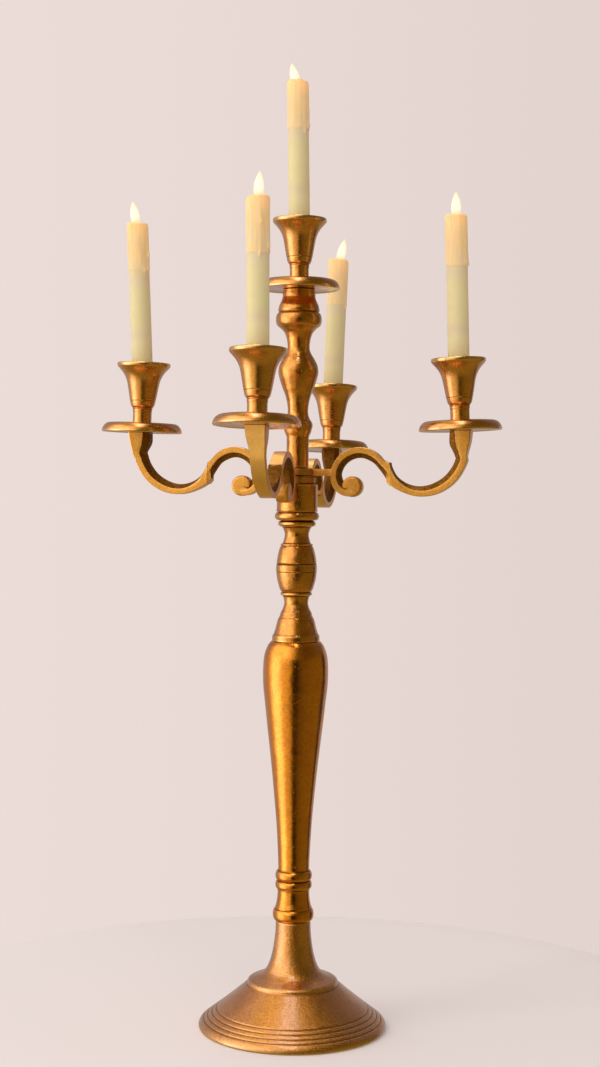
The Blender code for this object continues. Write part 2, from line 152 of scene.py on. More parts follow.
def softened(points, radius, closed=False):
    """The outline with each sharp corner rounded."""
    count = len(points)
    result = []
    for i, point in enumerate(points):
        here = np.array(point, float)
        before = np.array(points[i - 1], float) - here
        after = np.array(points[(i + 1) % count], float) - here
        long_before, long_after = np.linalg.norm(before), np.linalg.norm(after)
        turn = -float(before @ after) / max(long_before * long_after, 1e-9)
        if turn > cos(radians(CORNER_TURN)) or (not closed and i in (0, count - 1)):
            result.append(point)
            continue
        start = here + before / long_before * min(radius, CORNER_SHARE * long_before)
        end = here + after / long_after * min(radius, CORNER_SHARE * long_after)
        for t in np.linspace(0, 1, CORNER_STEPS + 1):
            result.append(tuple((1 - t) ** 2 * start + 2 * t * (1 - t) * here + t**2 * end))
    return result


def divided(points, closed):
    """The outline with its long straight stretches cut into shorter ones."""
    result = []
    for start, end in zip(points, [*points[1:], points[0]] if closed else points[1:]):
        count = max(1, math.ceil(math.dist(start, end) / LONGEST_STRETCH))
        result += [between(start, end, t) for t in np.arange(count) / count]
    return result if closed else [*result, points[-1]]


def scored(points, places, depth, width):
    """The outline with a V-groove cut across it at each (radius, height) place."""
    for place in places:
        near = min(range(len(points) - 1), key=lambda i: distance_to(points[i], points[i + 1], place))
        start, end = np.array(points[near], float), np.array(points[near + 1], float)
        along = (end - start) / np.linalg.norm(end - start)
        inward = np.array((-along[1], along[0]))
        at = start + along * float((np.array(place) - start) @ along)
        cut = [at - along * width / 2, at + inward * depth, at + along * width / 2]
        points = [*points[: near + 1], *(tuple(p) for p in cut), *points[near + 1 :]]
    return points


def distance_to(start, end, place):
    """How far a place is from the straight stretch between two points."""
    start, along, place = np.array(start, float), np.subtract(end, start), np.array(place, float)
    share = np.clip((place - start) @ along / max(along @ along, 1e-9), 0, 1)
    return float(np.linalg.norm(place - start - along * share))


def foot_outline():
    """The domed foot: its rim, the turned rings on the dome, ledge, neck and hollow."""
    top = ends_of("base")[1]
    rim = [(86, 0), (91.6, 0), (92.8, 1), (93, 2.8), (92.6, 4.4), (91.6, 6)]
    dome = [(90.2, 7.5), (72.6, 21), (64, 27.8), (56, 34.4), (47.6, 41.4)]
    ledge = [(45.6, 42.8), (45, 44.2), (44.9, 45.4), (44, 46.8), (42.6, 47.7)]
    shoulder = [(38, 49.2), (35, 50.2), (30.6, 52.6), (27.8, 55.2), (26.4, 57)]
    neck = spline([(25, 59.6), (22.7, 65.5), (20.4, 74.5), (18.8, 84.5), (17.8, 94), (17.4, top)], 5)
    rings = [(88.2, 9), (84.2, 12.1), (79.9, 15.4), (75.6, 18.7)]
    hollow = [(40, 38), (56, 27.5), (80, 10.5), (86, 4)]
    inside = [(ROD_BORE, top), (ROD_BORE, FOOT_CEILING), (30, FOOT_CEILING), *hollow]
    outside = softened(rim + scored(dome, rings, 0.7, 2.4), 0.7) + softened(ledge + shoulder, 1.2)
    return outside + neck + softened(inside, 1.5)


def vase_outline():
    """The hollow vase with the collar and the two ring beads below it."""
    base, top = ends_of("lower_stem")
    collar = [(17.8, base), (18.2, base + 0.5), *bead(106, 117.4, 18.2, 20.5), (18.7, 117.8)]
    waist = spline([(17.7, 119.8), (16.8, 123.8), (16.2, 127.8), (15.9, 131.6), (15.9, 134.6), (16.2, 136.4)])
    rings = bead(136.8, 145.3, 15.9, 18.3) + bead(145.5, 154.9, 16, 18.4)
    body = spline([
        (15.6, 156.6), (15.8, 166), (16.5, 181.5), (18, 205), (20.2, 229), (22.6, 253), (25.3, 277),
        (28.1, 301), (30.8, 325), (32.2, 338), (32.6, 352), (32, 364), (30.8, 371), (28.9, 376.2),
        (27.3, 379.4), (25, top)], 5)
    bore = [(ROD_BORE, top), (ROD_BORE, 374)]
    inside = [(25, 371.5), (28, 352), (20.6, 277), (12, 181.5), (11.4, 162), (ROD_BORE, 157)]
    return softened(collar, 0.7) + waist + rings + body + softened(bore + inside + [(ROD_BORE, base)], 0.5)


def knop_outline():
    """The cone, barrel and drum between the vase and the arms, with their beads."""
    base, top = ends_of("middle_stem")
    band = [(23.2, base), (23.8, base + 0.6), (23.6, 388.2), (22.2, 390)]
    cone = [(21.6, 391.8), (20.2, 396.2), (18.9, 402), (17.7, 405.4), (16.9, 406.4)]
    ring = [(16.7, 407.2), (16, 408.6), (15.6, 411), (14.9, 412.2)]
    waist = spline([(14.2, 413.4), (12.8, 416.8), (12, 420.4), (12.5, 424.6), (13.2, 427.2)])
    waist += bead(428, 431.4, 13.8, 15.9)
    barrel = spline([(15, 431.9), (16.6, 434.6), (17.8, 438.4), (19.3, 444.2), (20.1, 450), (20.4, 455.2),
                     (19.9, 461), (18.9, 467.8), (17.4, 474), (16, 477.2)], 6)
    barrel = scored(barrel, [(20.2, 451.6), (20.2, 459.6)], 0.7, 1.3)
    barrel += bead(477.4, 479.6, 14.6, 16.3)
    neck = spline([(14, 480.2), (13.1, 483.4), (12.2, 487.2), (12.4, 490.8), (14, 495)])
    beads = bead(496.4, 502.6, 14.8, 18.9) + bead(502.8, 511, 18.6, 22.2)
    drum = [(20.7, 511.6), (20.4, 514), (20.3, 524), (20.3, top - 0.8), (19.6, top)]
    tail = [(ROD_BORE, top), (ROD_BORE, base)]
    return softened(band + cone + ring, 0.8) + waist + barrel + neck + beads + softened(drum, 0.5) + tail


def baluster_outline():
    """The upper stem with its three swellings, up to the top cup's pan."""
    base, top = ends_of("upper_stem")
    bore_end = top - SEAT_SCREW_DEPTH
    foot = [(0, 596), (ROD_BORE, 596), (ROD_BORE, base), (10.7, base), (11.1, base + 0.5), (11.1, 585.6)]
    lower = spline([(11.7, 587.2), (13.2, 590.6), (14.3, 594.4), (14.9, 597.6), (13.9, 600.6), (12, 603.4),
                    (10.8, 606.8), (10.3, 611), (10.5, 616), (11.5, 622), (13.2, 628), (15.6, 634),
                    (18, 641), (19.6, 646.6), (20.1, 651), (19.4, 656), (17.5, 660.4), (15.4, 664.2),
                    (13.2, 667.8), (11.6, 671.4), (11.1, 675.6), (11.8, 682), (13, 686.4), (14.4, 689.6)], 5)
    lower = scored(lower, [(14.9, 665)], 0.35, 0.8)
    step = [(15.6, 691), (17, 692.6), (19.2, 694.4)]
    crown = bead(695, 709.4, 19.6, 23)
    collar = [(20.9, 711.2), (19.8, 716), (17.3, 721.6), (16.5, 724.4), (16.3, top)]
    hole = [(SCREW_BORE, top), (SCREW_BORE, bore_end), (0, bore_end)]
    return softened(foot, 0.4) + lower + softened(step, 0.4) + crown + softened(collar + hole, 0.6)


def pan_outline():
    """A drip pan: a shallow dish with a rounded lip."""
    under = [(SCREW_BORE, GAP), (15, GAP), (27, 1.7), (37, 1.2), (39.4, 0.4)]
    lip = spline([(40, 0.3), (40.6, 1), (40.6, 2.2), (40, 4.2), (38.8, 6.4), (36.8, 8.5), (34.6, 9.7),
                  (32.4, 10)], 4)
    dish = [(29, 9.8), (24, 9.2), (15, PAN_DISH), (SCREW_BORE, PAN_DISH)]
    return softened(under, 0.5) + lip + softened(dish, 1.5)


def cup_outline():
    """A bell-shaped cup with its neck, socket and screw hole."""
    neck = [(SCREW_BORE, CUP_BASE), (9.3, CUP_BASE), (9.5, CUP_BASE + 0.4), (9.5, 21.1), (9.8, 21.9),
            (10.1, 25.1)]
    step = [(10.5, 25.9), (11.3, 26.5), (12, 28.1), (12.9, 31.5)]
    bell = spline([(13.3, 33.3), (13.9, 36.9), (14.8, 41.9), (15.9, 48.1), (17, 52.7), (18.4, 56.3),
                   (20.3, 59.7), (22.6, 62.7), (24.8, 65.1), (26.2, 66.7)], 5)
    rim = [(26.9, 67.7), (27, 68.9), (26.8, 70.4), (26, CUP_RIM)]
    flare = [(24.9, 70.8), (22.6, 69.1), (19.4, 66.1), (16.6, 62.5), (13.8, 58.5), (12.3, 55.5),
             (SOCKET_RADIUS, 52.5)]
    socket = [(SOCKET_RADIUS, SOCKET_FLOOR), (SCREW_HEAD_BORE, SOCKET_FLOOR)]
    screw_seat = [(SCREW_HEAD_BORE, SCREW_SEAT), (SCREW_BORE, SCREW_SEAT)]
    neck = scored(neck, [(9.9, 24.1)], 0.3, 0.7)
    body = scored(softened(neck + step, 0.4) + bell, [(13.1, 32.4)], 0.45, 0.9)
    return body + softened(rim + flare + socket + screw_seat, 0.9)


# ---- meshes ----


def recess_of(outline):
    """How far each point of an outline lies under (above zero) or stands over (below zero) its surroundings,
    as a share of the full depth, between -1 and 1."""
    points = np.array(outline, float)
    ahead, behind = np.roll(points, -1, 0), np.roll(points, 1, 0)
    along = ahead - behind
    length = np.maximum(np.linalg.norm(along, axis=1), 1e-6)
    outward = np.stack([along[:, 1], -along[:, 0]], 1) / length[:, None]
    weight = np.linalg.norm(ahead - points, axis=1) + np.linalg.norm(points - behind, axis=1)
    apart = np.linalg.norm(points[:, None] - points[None], axis=2)
    share = np.exp(-((apart / RECESS_REACH) ** 2)) * weight[None, :]
    mean = (share @ points) / share.sum(1)[:, None]
    return np.clip(((mean - points) * outward).sum(1) / RECESS_DEPTH, -1, 1)


def linked(name, data, matrix=None):
    """A new object of the scene that shows the data."""
    item = bpy.data.objects.new(name, data)
    bpy.context.scene.collection.objects.link(item)
    if matrix is not None:
        item.matrix_world = matrix
    return item


def add_attribute(mesh, key, values):
    """Gives each vertex a number that the materials read."""
    mesh.attributes.new(key, "FLOAT", "POINT").data.foreach_set("value", np.asarray(values, np.float32))


def mesh_object(name, points, faces, matrix, attributes=None):
    """A smooth-shaded object of these points and faces."""
    mesh = bpy.data.meshes.new(name)
    mesh.from_pydata([tuple(p) for p in points], [], faces)
    for key, values in (attributes or {}).items():
        add_attribute(mesh, key, values)
    mesh.shade_smooth()
    return linked(name, mesh, matrix)


def lathe(outline, segments, spot_at):
    """Points and faces of rings through the outline. spot_at gives the point, in millimetres, for the number,
    radius and height of an outline's point and an angle. A radius of zero makes a single point. An outline
    that doesn't start with one is closed from its end to its start."""
    points, faces, rings = [], [], []
    for number, (radius, level) in enumerate(outline):
        count = segments if radius > 0 else 1
        rings.append((len(points), count))
        for k in range(count):
            points.append(spot_at(number, radius, level, 2 * pi * k / segments) * MM)
    if rings[0][1] > 1:
        rings.append(rings[0])
    for (low, low_count), (high, high_count) in zip(rings, rings[1:]):
        for k in range(segments):
            after = (k + 1) % segments
            corners = [low + k % low_count, low + after % low_count, high + after % high_count,
                       high + k % high_count]
            faces.append(tuple(dict.fromkeys(corners)))
    return points, faces


def round_spot(number, radius, level, angle):
    """The plain point of a body of revolution about Z."""
    return Vector((radius * cos(angle), radius * sin(angle), level))


def tube_faces(total, size):
    """The faces of a tube through rings of that size, with both ends closed."""
    faces = []
    for low in range(0, total - size, size):
        for k in range(size):
            after = (k + 1) % size
            faces.append((low + k, low + after, low + size + after, low + size + k))
    return [*faces, tuple(range(size)), tuple(range(total - size, total))]


def turned(name, outline, matrix, segments, dents, grain, seed):
    """A closed body of revolution about Z, with shallow casting dents of that depth in millimetres."""
    outline = divided(outline, outline[0][0] > 0)
    # The recess numbers become painted shade in hollows and a worn, highlit colour on ridges, in the gilt.
    recess = recess_of(outline)
    shares = []

    def spot_at(number, radius, level, angle):
        spot = round_spot(number, radius, level, angle)
        if radius > 0:
            swell = noise.noise(spot / grain + Vector((seed, 0, 0)))
            spot.xy *= 1 - dents * (0.5 + 0.5 * swell) / radius
        shares.append(recess[number])
        return spot

    points, faces = lathe(outline, segments, spot_at)
    return mesh_object(name, points, faces, matrix, {"recess": shares})


def axis_matrix(origin, axis):
    """The frame at origin with +Z along axis and +X as near the world's as that allows."""
    up = Vector(axis).normalized()
    across = up.cross(Vector((1, 0, 0))).normalized()
    return Matrix.Translation(origin) @ Matrix((across.cross(up), across, up)).transposed().to_4x4()


def seat_matrix(side):
    """The frame of a seat, read from its cup: +Z along the cup's axis, origin where the pan rests."""
    points = np.unique(np.round([v.co[:] for v in NODES[f"candle_cup_{side}"].data.vertices], 7), axis=0)
    centre = points.mean(0)
    spread, directions = np.linalg.eigh(np.cov((points - centre).T))
    odd = int(np.argmax(np.abs(spread - np.median(spread))))
    axis = directions[:, odd] * np.sign(directions[2, odd])
    lowest = ((points - centre) @ axis).min()
    return axis_matrix(Vector(centre + axis * (lowest - CUP_BASE * MM)), axis)


SEATS = {side: seat_matrix(side) for side in SIDES}


# ---- arms: points (x, z) in the arm's own frame, millimetres from the stem's axis and above the boss ----
# The edges of scroll and bowl are (direction in degrees, radius) about their centres.

SCROLL_CENTRE = (63.5, -3.6)
BOWL_CENTRE = (121.5, 19.8)
SCROLL_SPAN = (248, 36)  # from the ball to where the arm runs straight to the cusp
BOWL_SPAN = (227, 352)  # from the cusp to the seat block
BOWL_EARLY = 25  # how far the bowl's hollow side starts before its outer side
SCROLL_OUTER = [(30, 28.4), (60, 28.6), (202, 28.6), (226, 25.6), (248, 21.4)]
SCROLL_INNER = [(30, 20), (60, 18.2), (120, 18.2), (176, 19), (200, 17.4), (248, 12)]
BOWL_OUTER = [(227, 42.7), (236, 42.2), (250, 41.7), (270, 42.7), (307, 44.2), (317, 44.9),
              (340, 46.2), (352, 47.8)]
BOWL_INNER = [(198, 31), (212, 31.6), (225, 32.5), (300, 32.7), (330, 34.2), (352, 36)]
CUSP = ((92.4, 10.2), (92.4, -12.4))
SCROLL_EYE = (56.2, -13.9)
SCROLL_STEPS, CUSP_STEPS, BOWL_STEPS = 84, 13, 90
SCROLL_WIDTHS = (0.99, 0.5)  # shares of the arm's width that the outer and the inner edge have
BLOCK_WIDTHS = [(0, 1.08), (0.3, 1.14), (0.6, 1.3), (1, 1.5)]  # shares of the arm's width up to the seat
SEAT_EDGES = (152.8, 173.8)
# painted shade of the arm's cove: above zero darkens a point, below zero gives the face's edge the worn,
# highlit colour
COVE_SHADES = [1, 1, 1, 0.95, 0, -0.5, 0, -0.2, -0.6]  # of half a section, from the hollow side
BOWL_SWAY = {"front": 2.4}  # how far the bowl stands to the arm's left, seen from the stem
BOWL_SHIFT = {"left": -1.4, "right": 1.4}  # how far each casting's bowl is drawn out from the stem
BALL_SHARE = 0.986  # of the arm's thickness
BAR_START, LINK_END = 12, 42  # the straight bar from inside the boss to inside the scroll
BAR_BEVEL = 0.5
BAR_STATIONS = 12
BOSS_GROOVE = (1.8, 1.3)  # how deep and how high the groove at each end of a boss is
SEAT_DRILL_TOP = 3.7
SHADE_REACH = 1.5  # how far from a shaded point of a part the joined mesh takes its shade
FACET_ANGLE = 19  # faces that meet at more degrees than this keep a crisp edge


def eased(value, knots, spread=7):
    """The value between (position, value) knots, smoothed over that much either side."""
    places, values = zip(*knots)
    return float(np.mean([np.interp(value + spread * k / 4, places, values) for k in range(-4, 5)]))


def polar(centre, degrees, radius):
    """The point at that direction and distance from the centre."""
    angle = radians(degrees)
    return (centre[0] + radius * cos(angle), centre[1] + radius * sin(angle))


def cusp(shift):
    """The cusp's upper and lower point, drawn out from the stem by shift."""
    return [(x + shift, z) for x, z in CUSP]


def scroll_rungs(shift):
    """From the ball round the scroll to the cusp: outer edge, inner edge, and their shares of the width."""
    edges = []
    for degrees in np.linspace(*SCROLL_SPAN, SCROLL_STEPS):
        radii = [eased(degrees, knots) for knots in (SCROLL_OUTER, SCROLL_INNER)]
        edges.append([polar(SCROLL_CENTRE, degrees, radius) for radius in radii])
    start = edges[-1]
    tip, heel = cusp(shift)
    for t in np.linspace(0, 1, CUSP_STEPS)[1:]:
        sag = 0.6 * sin(pi * t)
        outer, inner = between(start[0], tip, t), between(start[1], heel, t)
        edges.append([(outer[0], outer[1] - sag), (inner[0] + 1.4 * sag, inner[1] + 0.4 * sag)])
    return [(outer, inner, *SCROLL_WIDTHS) for outer, inner in edges]


def bowl_rungs(shift, lean, rise):
    """From the cusp round the bowl to the seat: hollow edge, outer edge, and their shares of the width."""
    tip, heel = cusp(shift)
    rungs = [((tip[0] - 3.4, tip[1] - 1.6), (heel[0] - 3, heel[1] + 3), 0.92, 0.94), (tip, heel, 0.95, 0.97)]
    centre = (BOWL_CENTRE[0] + shift, BOWL_CENTRE[1])
    for t in np.linspace(0, 1, BOWL_STEPS)[1:]:
        far = BOWL_SPAN[0] + (BOWL_SPAN[1] - BOWL_SPAN[0]) * t
        near = far - BOWL_EARLY * (1 - t) ** 3
        outer = polar(centre, far, eased(far, BOWL_OUTER, 5))
        inner = polar(centre, near, eased(near, BOWL_INNER, 5))
        rungs.append((inner, outer, 0.96 - 0.46 * smooth(t / 0.36), 1 + 0.08 * smooth(2 * t - 1)))
    hollow_seat, outer_seat = ((edge, rise + (edge - ARM_REACH) * math.tan(lean)) for edge in SEAT_EDGES)
    hollow, outer = rungs[-1][:2]
    hollow_side = spline([hollow, (156.9, 19), (155, 23), (152.9, 27.4), (152.4, 31.6), hollow_seat], 6)
    outer_side = spline([outer, (169.4, 16.8), (170.3, 21.2), (171.5, 26.2), (172.8, 32), outer_seat], 6)
    for step, (hollow, outer) in enumerate(zip(hollow_side[1:], outer_side[1:]), 1):
        t = step / (len(outer_side) - 1)
        flare = eased(t, BLOCK_WIDTHS, 0.06)
        rungs.append((hollow, outer, flare * (0.5 + 0.22 * t**2), flare))
    return rungs


def section_of(first, second, first_share, second_share, hollow_first):
    """Points round one station of an arm: flat faces, rounded edges, and a cove that falls away towards the
    hollow side."""
    half = ARM_WIDTH / 2
    length = math.dist(first, second)
    start, end = Vector((first[0], 0, first[1])), Vector((second[0], 0, second[1]))
    low, high = (first_share, second_share) if hollow_first else (second_share, first_share)
    fall = max(0.05, 0.46 * min(1, 2 * (1 - low / high)))
    profile = [(0, low * 0.9), (fall * 0.12, low), (fall * 0.5, low + (high - low) * 0.4),
               (fall * 0.94, low + (high - low) * 0.9), (fall, high * 0.99), (fall + 0.03, high), (0.7, high),
               (0.95, high), (1, high * 0.94)]
    corners = [(s * length, w * half) for s, w in profile]
    corners += [(s, -w) for s, w in reversed(corners)]
    points = []
    for s, w in corners:
        share = s / length if hollow_first else 1 - s / length
        points.append((start.lerp(end, share) + Vector((0, w, 0))) * MM)
    return points


def loft(rungs, hollow_first):
    """A closed sweep through the stations, with how much painted shade each point gets in its cove."""
    rings = [section_of(*rung, hollow_first) for rung in rungs]
    points = [point for ring in rings for point in ring]
    return points, tube_faces(len(points), len(rings[0])), (COVE_SHADES + COVE_SHADES[::-1]) * len(rungs)


def ball_points():
    """The flat-faced ball that ends the scroll, turned about its own axis."""
    half = ARM_WIDTH / 2 * BALL_SHARE
    side = [(10.2, 3.4), (10.1, 4.6), (9.8, 5.6), (9.2, 6.2), (8.4, half - 0.08), (7.6, half), (0, half)]

    def spot_at(number, radius, level, angle):
        x, z = SCROLL_EYE
        return Vector((x + radius * cos(angle), level, z + radius * sin(angle)))

    return lathe([(r, -h) for r, h in reversed(side)] + side, 48, spot_at)


def bar_points(low, high):
    """A box with bevelled long edges, along X."""
    (_, y0, z0), (_, y1, z1) = low, high
    corners = softened([(y0, z0), (y1, z0), (y1, z1), (y0, z1)], BAR_BEVEL, closed=True)
    stations = np.linspace(low[0], high[0], BAR_STATIONS)
    points = [Vector((x, a, b)) * MM for x in stations for a, b in corners]
    return points, tube_faces(len(points), len(corners))


def joined(name, parts, cutters):
    """One closed mesh: the union of the parts less the cutters, each (points, faces, matrix)."""
    solids = [solid_object(f"{name}_{i}", *part) for i, part in enumerate(parts)]
    drills = [solid_object(f"{name}_drill_{i}", *cut) for i, cut in enumerate(cutters)]
    whole = solids[0]
    for other, operation in [(s, "UNION") for s in solids[1:]] + [(d, "DIFFERENCE") for d in drills]:
        modifier = whole.modifiers.new(other.name, "BOOLEAN")
        modifier.object, modifier.operation, modifier.solver = other, operation, "EXACT"
    graph = bpy.context.evaluated_depsgraph_get()
    mesh = bpy.data.meshes.new_from_object(whole.evaluated_get(graph), depsgraph=graph)
    for item in solids + drills:
        bpy.data.objects.remove(item, do_unlink=True)
    return mesh


def solid_object(name, points, faces, matrix):
    """A mesh with its faces turned outwards and its vertices in the world frame."""
    mesh = bmesh.new()
    verts = [mesh.verts.new(matrix @ point) for point in points]
    for face in faces:
        mesh.faces.new([verts[i] for i in face])
    bmesh.ops.recalc_face_normals(mesh, faces=mesh.faces)
    data = bpy.data.meshes.new(name)
    mesh.to_mesh(data)
    mesh.free()
    return linked(name, data)


def rotation(degrees, axis):
    """A turn about one of the axes."""
    return Matrix.Rotation(radians(degrees), 4, axis)


def arm_frame(side):
    """The arm's own frame before and after its tilt, read from where the CAD seat stands."""
    boss = arm_boss(side)
    seat = SEATS[side].translation / MM
    reach = math.hypot(seat.x, seat.y) - TILT_FROM
    tilt = math.atan2(seat.z - boss, reach) - math.atan2(ARM_RISES[side], ARM_REACH - TILT_FROM)
    azimuth = math.degrees(math.atan2(seat.y, seat.x))
    level = rotation(azimuth, "Z") @ Matrix.Translation((0, 0, boss * MM))
    shift = Matrix.Translation((TILT_FROM * MM, 0, 0))
    return level, level @ shift @ Matrix.Rotation(-tilt, 4, "Y") @ shift.inverted()


def swayed(point, sway):
    """A point of the arm moved sideways, most at the middle of the bowl's outer wall."""
    share = smooth((point.x / MM - 92) / 55) * (1 - 0.6 * smooth((point.z / MM - 14) / 24))
    return point + Vector((0, sway * share * MM, 0))


def boss_room():
    """The heights between which the two pairs' bosses are stacked, and half the height of one boss."""
    low, high = ends_of("middle_stem")[1] + GAP, ends_of("upper_stem")[0] - GAP
    return low, high, (high - low - GAP) / 4


def arm_boss(side):
    """The height of the boss's mid-plane: the front and back pair is the lower one."""
    low, high, half_boss = boss_room()
    return low + half_boss if side in ("front", "back") else high - half_boss


def arm_pair(name, sides):
    """One casting: a boss with an arm to each of two sides, and a number for each vertex: how much painted
    shade (above zero) or worn, highlit colour (below zero) it gets.
    """
    half, half_boss = ARM_WIDTH / 2, boss_room()[2]
    cut, rise = BOSS_GROOVE
    rim = [(BOSS_RADIUS - cut, -half_boss), (BOSS_RADIUS, rise - half_boss), (BOSS_RADIUS, half_boss - rise),
           (BOSS_RADIUS - cut, half_boss)]
    boss_place = Matrix.Translation((0, 0, arm_boss(sides[0]) * MM))
    boss = lathe([(ROD_BORE, -half_boss), *rim, (ROD_BORE, half_boss)], 96, round_spot)
    # painted shade: the boss is shaded a little all over and fully at its ends, where the two bosses meet
    marks = [(boss_place @ point, 1 if abs(point.z) > (half_boss - 0.4) * MM else 0.35) for point in boss[0]]
    parts, cutters = [(*boss, boss_place)], []
    for side in sides:
        level, frame_of_arm = arm_frame(side)
        shift, sway = BOWL_SHIFT.get(side, 0), BOWL_SWAY.get(side, 0)
        bar = bar_points((BAR_START, 0.5 - half, 0.2 - half_boss), (TILT_FROM, half - 0.5, half_boss - 0.2))
        link = bar_points((TILT_FROM - 1, 0.8 - half, 0.4 - half_boss),
                          (LINK_END, half - 0.8, half_boss - 0.4))
        parts += [(*bar, level), (*link, frame_of_arm), (*ball_points(), frame_of_arm)]
        bowl = bowl_rungs(shift, seat_lean(side, frame_of_arm), ARM_RISES[side])
        for rungs, hollow_first in ((scroll_rungs(shift), False), (bowl, True)):
            points, faces, shades = loft(rungs, hollow_first)
            points = [swayed(point, sway) for point in points]
            parts.append((points, faces, frame_of_arm))
            marks += [(frame_of_arm @ point, shade) for point, shade in zip(points, shades)]
        drill = [(0, -SEAT_SCREW_DEPTH), (SCREW_BORE, -SEAT_SCREW_DEPTH), (SCREW_BORE, SEAT_DRILL_TOP),
                 (0, SEAT_DRILL_TOP)]
        cutters.append((*lathe(drill, 24, round_spot), SEATS[side]))
    mesh = joined(name, parts, cutters)
    tree = KDTree(len(marks))
    for i, (point, _) in enumerate(marks):
        tree.insert(point, i)
    tree.balance()
    shades = []
    for vertex in mesh.vertices:
        _, nearest, distance = tree.find(vertex.co)
        shades.append(marks[nearest][1] if distance < SHADE_REACH * MM else 0)
    add_attribute(mesh, "recess", shades)
    mesh.shade_smooth()
    mesh.set_sharp_from_angle(angle=radians(FACET_ANGLE))
    return linked(f"cast_{name}", mesh)


def seat_lean(side, frame_of_arm):
    """How far the seat leans to the hub, in radians, against the arm's own frame."""
    up = frame_of_arm.to_3x3().inverted() @ SEATS[side].to_3x3().col[2]
    return -math.atan2(up.x, up.z)


# ---- candles ----

# Each station: where its coat ends, as a share of the candle's height, and its drips, each with its direction
# in degrees about the candle (-90 faces the front), where it starts and ends as such shares, its width in
# degrees and its bulk in millimetres.
COATS = {
    "top": (0.70, [(-38, 0.88, 0.672, 6, 0.7), (-10, 0.84, 0.705, 9, 1.2), (-14, 0.90, 0.80, 7, 0.9),
                   (-95, 0.99, 0.74, 5, 0.35), (-135, 0.99, 0.72, 6, 0.4), (60, 0.85, 0.68, 12, 0.8)]),
    "front": (0.675, [(-66, 0.93, 0.655, 6, 0.9), (-12, 0.86, 0.70, 9, 1.2), (-60, 0.95, 0.83, 6, 0.8),
                      (-110, 0.99, 0.74, 5, 0.35), (-145, 0.99, 0.72, 6, 0.4), (80, 0.88, 0.66, 11, 0.8)]),
    "back": (0.69, [(-100, 0.97, 0.74, 5, 0.4), (-14, 0.82, 0.665, 10, 1), (-135, 0.98, 0.72, 6, 0.4),
                    (100, 0.9, 0.66, 10, 0.8)]),
    "left": (0.705, [(-12, 0.88, 0.70, 9, 1.3), (-14, 0.92, 0.78, 8, 1), (-40, 0.76, 0.688, 6, 0.9),
                     (-62, 0.86, 0.745, 6, 0.5), (-120, 0.98, 0.74, 6, 0.35), (70, 0.86, 0.68, 11, 0.7)]),
    "right": (0.69, [(-30, 0.90, 0.70, 8, 0.7), (-62, 0.95, 0.74, 5, 0.4), (-8, 0.80, 0.69, 9, 0.9),
                     (-115, 0.98, 0.72, 6, 0.4), (120, 0.86, 0.66, 10, 0.7)]),
}
# Each rim: direction in degrees of its highest point, and how far it rises and falls there and opposite.
RIMS = {"top": (-150, 0.5), "front": (20, 0.9), "back": (180, 0.6), "left": (-170, 0.9),
        "right": (150, 0.4)}
STICK_RADIUS = 10.5
WAX_SPAN = 167  # the candles are about this long
COAT_THICKNESS = 0.5
COAT_EDGE = 1.1  # the height over which the coat rises to its full thickness
BULB_HEIGHT = 2.4  # of the bead at a drip's end
CELL_START, CELL_PITCH = 10.4, 45  # where the lower cell starts above the candle's foot, and a cell's length


def seed_of(side):
    """Each candle's own place in the noise."""
    return 7 * SIDES.index(side)


def candle_matrix(side):
    """The candle's frame: origin at its foot, +Z along it, read from its joints and its CAD shell."""
    points = np.array([v.co[:] for v in NODES[f"candle_shell_{side}"].data.vertices])
    axis = np.array(JOINTS[f"candle_lift_{side}"]["axis"], float)
    axis /= np.linalg.norm(axis)
    through = np.array(JOINTS[f"flame_sway_{side}"]["pos_m"], float)
    low = ((points - through) @ axis).min()
    return axis_matrix(Vector(through + axis * low), axis)


def candle_size(side):
    """The candle's length, and the height of its flame's pivot, in millimetres from its foot."""
    inverse = candle_matrix(side).inverted()
    length = max((inverse @ v.co).z for v in NODES[f"candle_shell_{side}"].data.vertices)
    return length / MM, (inverse @ Vector(JOINTS[f"flame_sway_{side}"]["pos_m"])).z / MM


def candle_bulk(side, length, degrees, level):
    """How far the wax stands out at a direction and height, and how much of the coat is there, 0 to 1."""
    edge, drips = COATS[side]
    seed = seed_of(side)
    angle = radians(degrees)
    wave = noise.noise(Vector((1.3 * cos(angle), 1.3 * sin(angle), seed)))
    share = smooth((level - (edge + 0.012 * wave) * length) / COAT_EDGE)
    run = noise.noise(Vector((3.2 * cos(angle), 3.2 * sin(angle), level / 26 + seed)))
    bulk = COAT_THICKNESS * share * (1 + 0.45 * run)
    for towards, start, stop, width, size in drips:
        apart = (degrees - towards + 180) % 360 - 180
        wander = 2.5 * sin(level / 9 + towards)
        across = math.exp(-(((apart + wander) / width) ** 2))
        above = level - stop * length
        along = smooth(above / 1.6) * smooth((start * length - level) / 9)
        bulb = math.exp(-(((above - BULB_HEIGHT) / 2.2) ** 2) - (apart / (width * 1.15)) ** 2)
        drip = size * (0.7 * across * along + 0.9 * bulb)
        bulk += drip
        share = max(share, smooth(drip / 0.25 - 0.3))
    return bulk, share


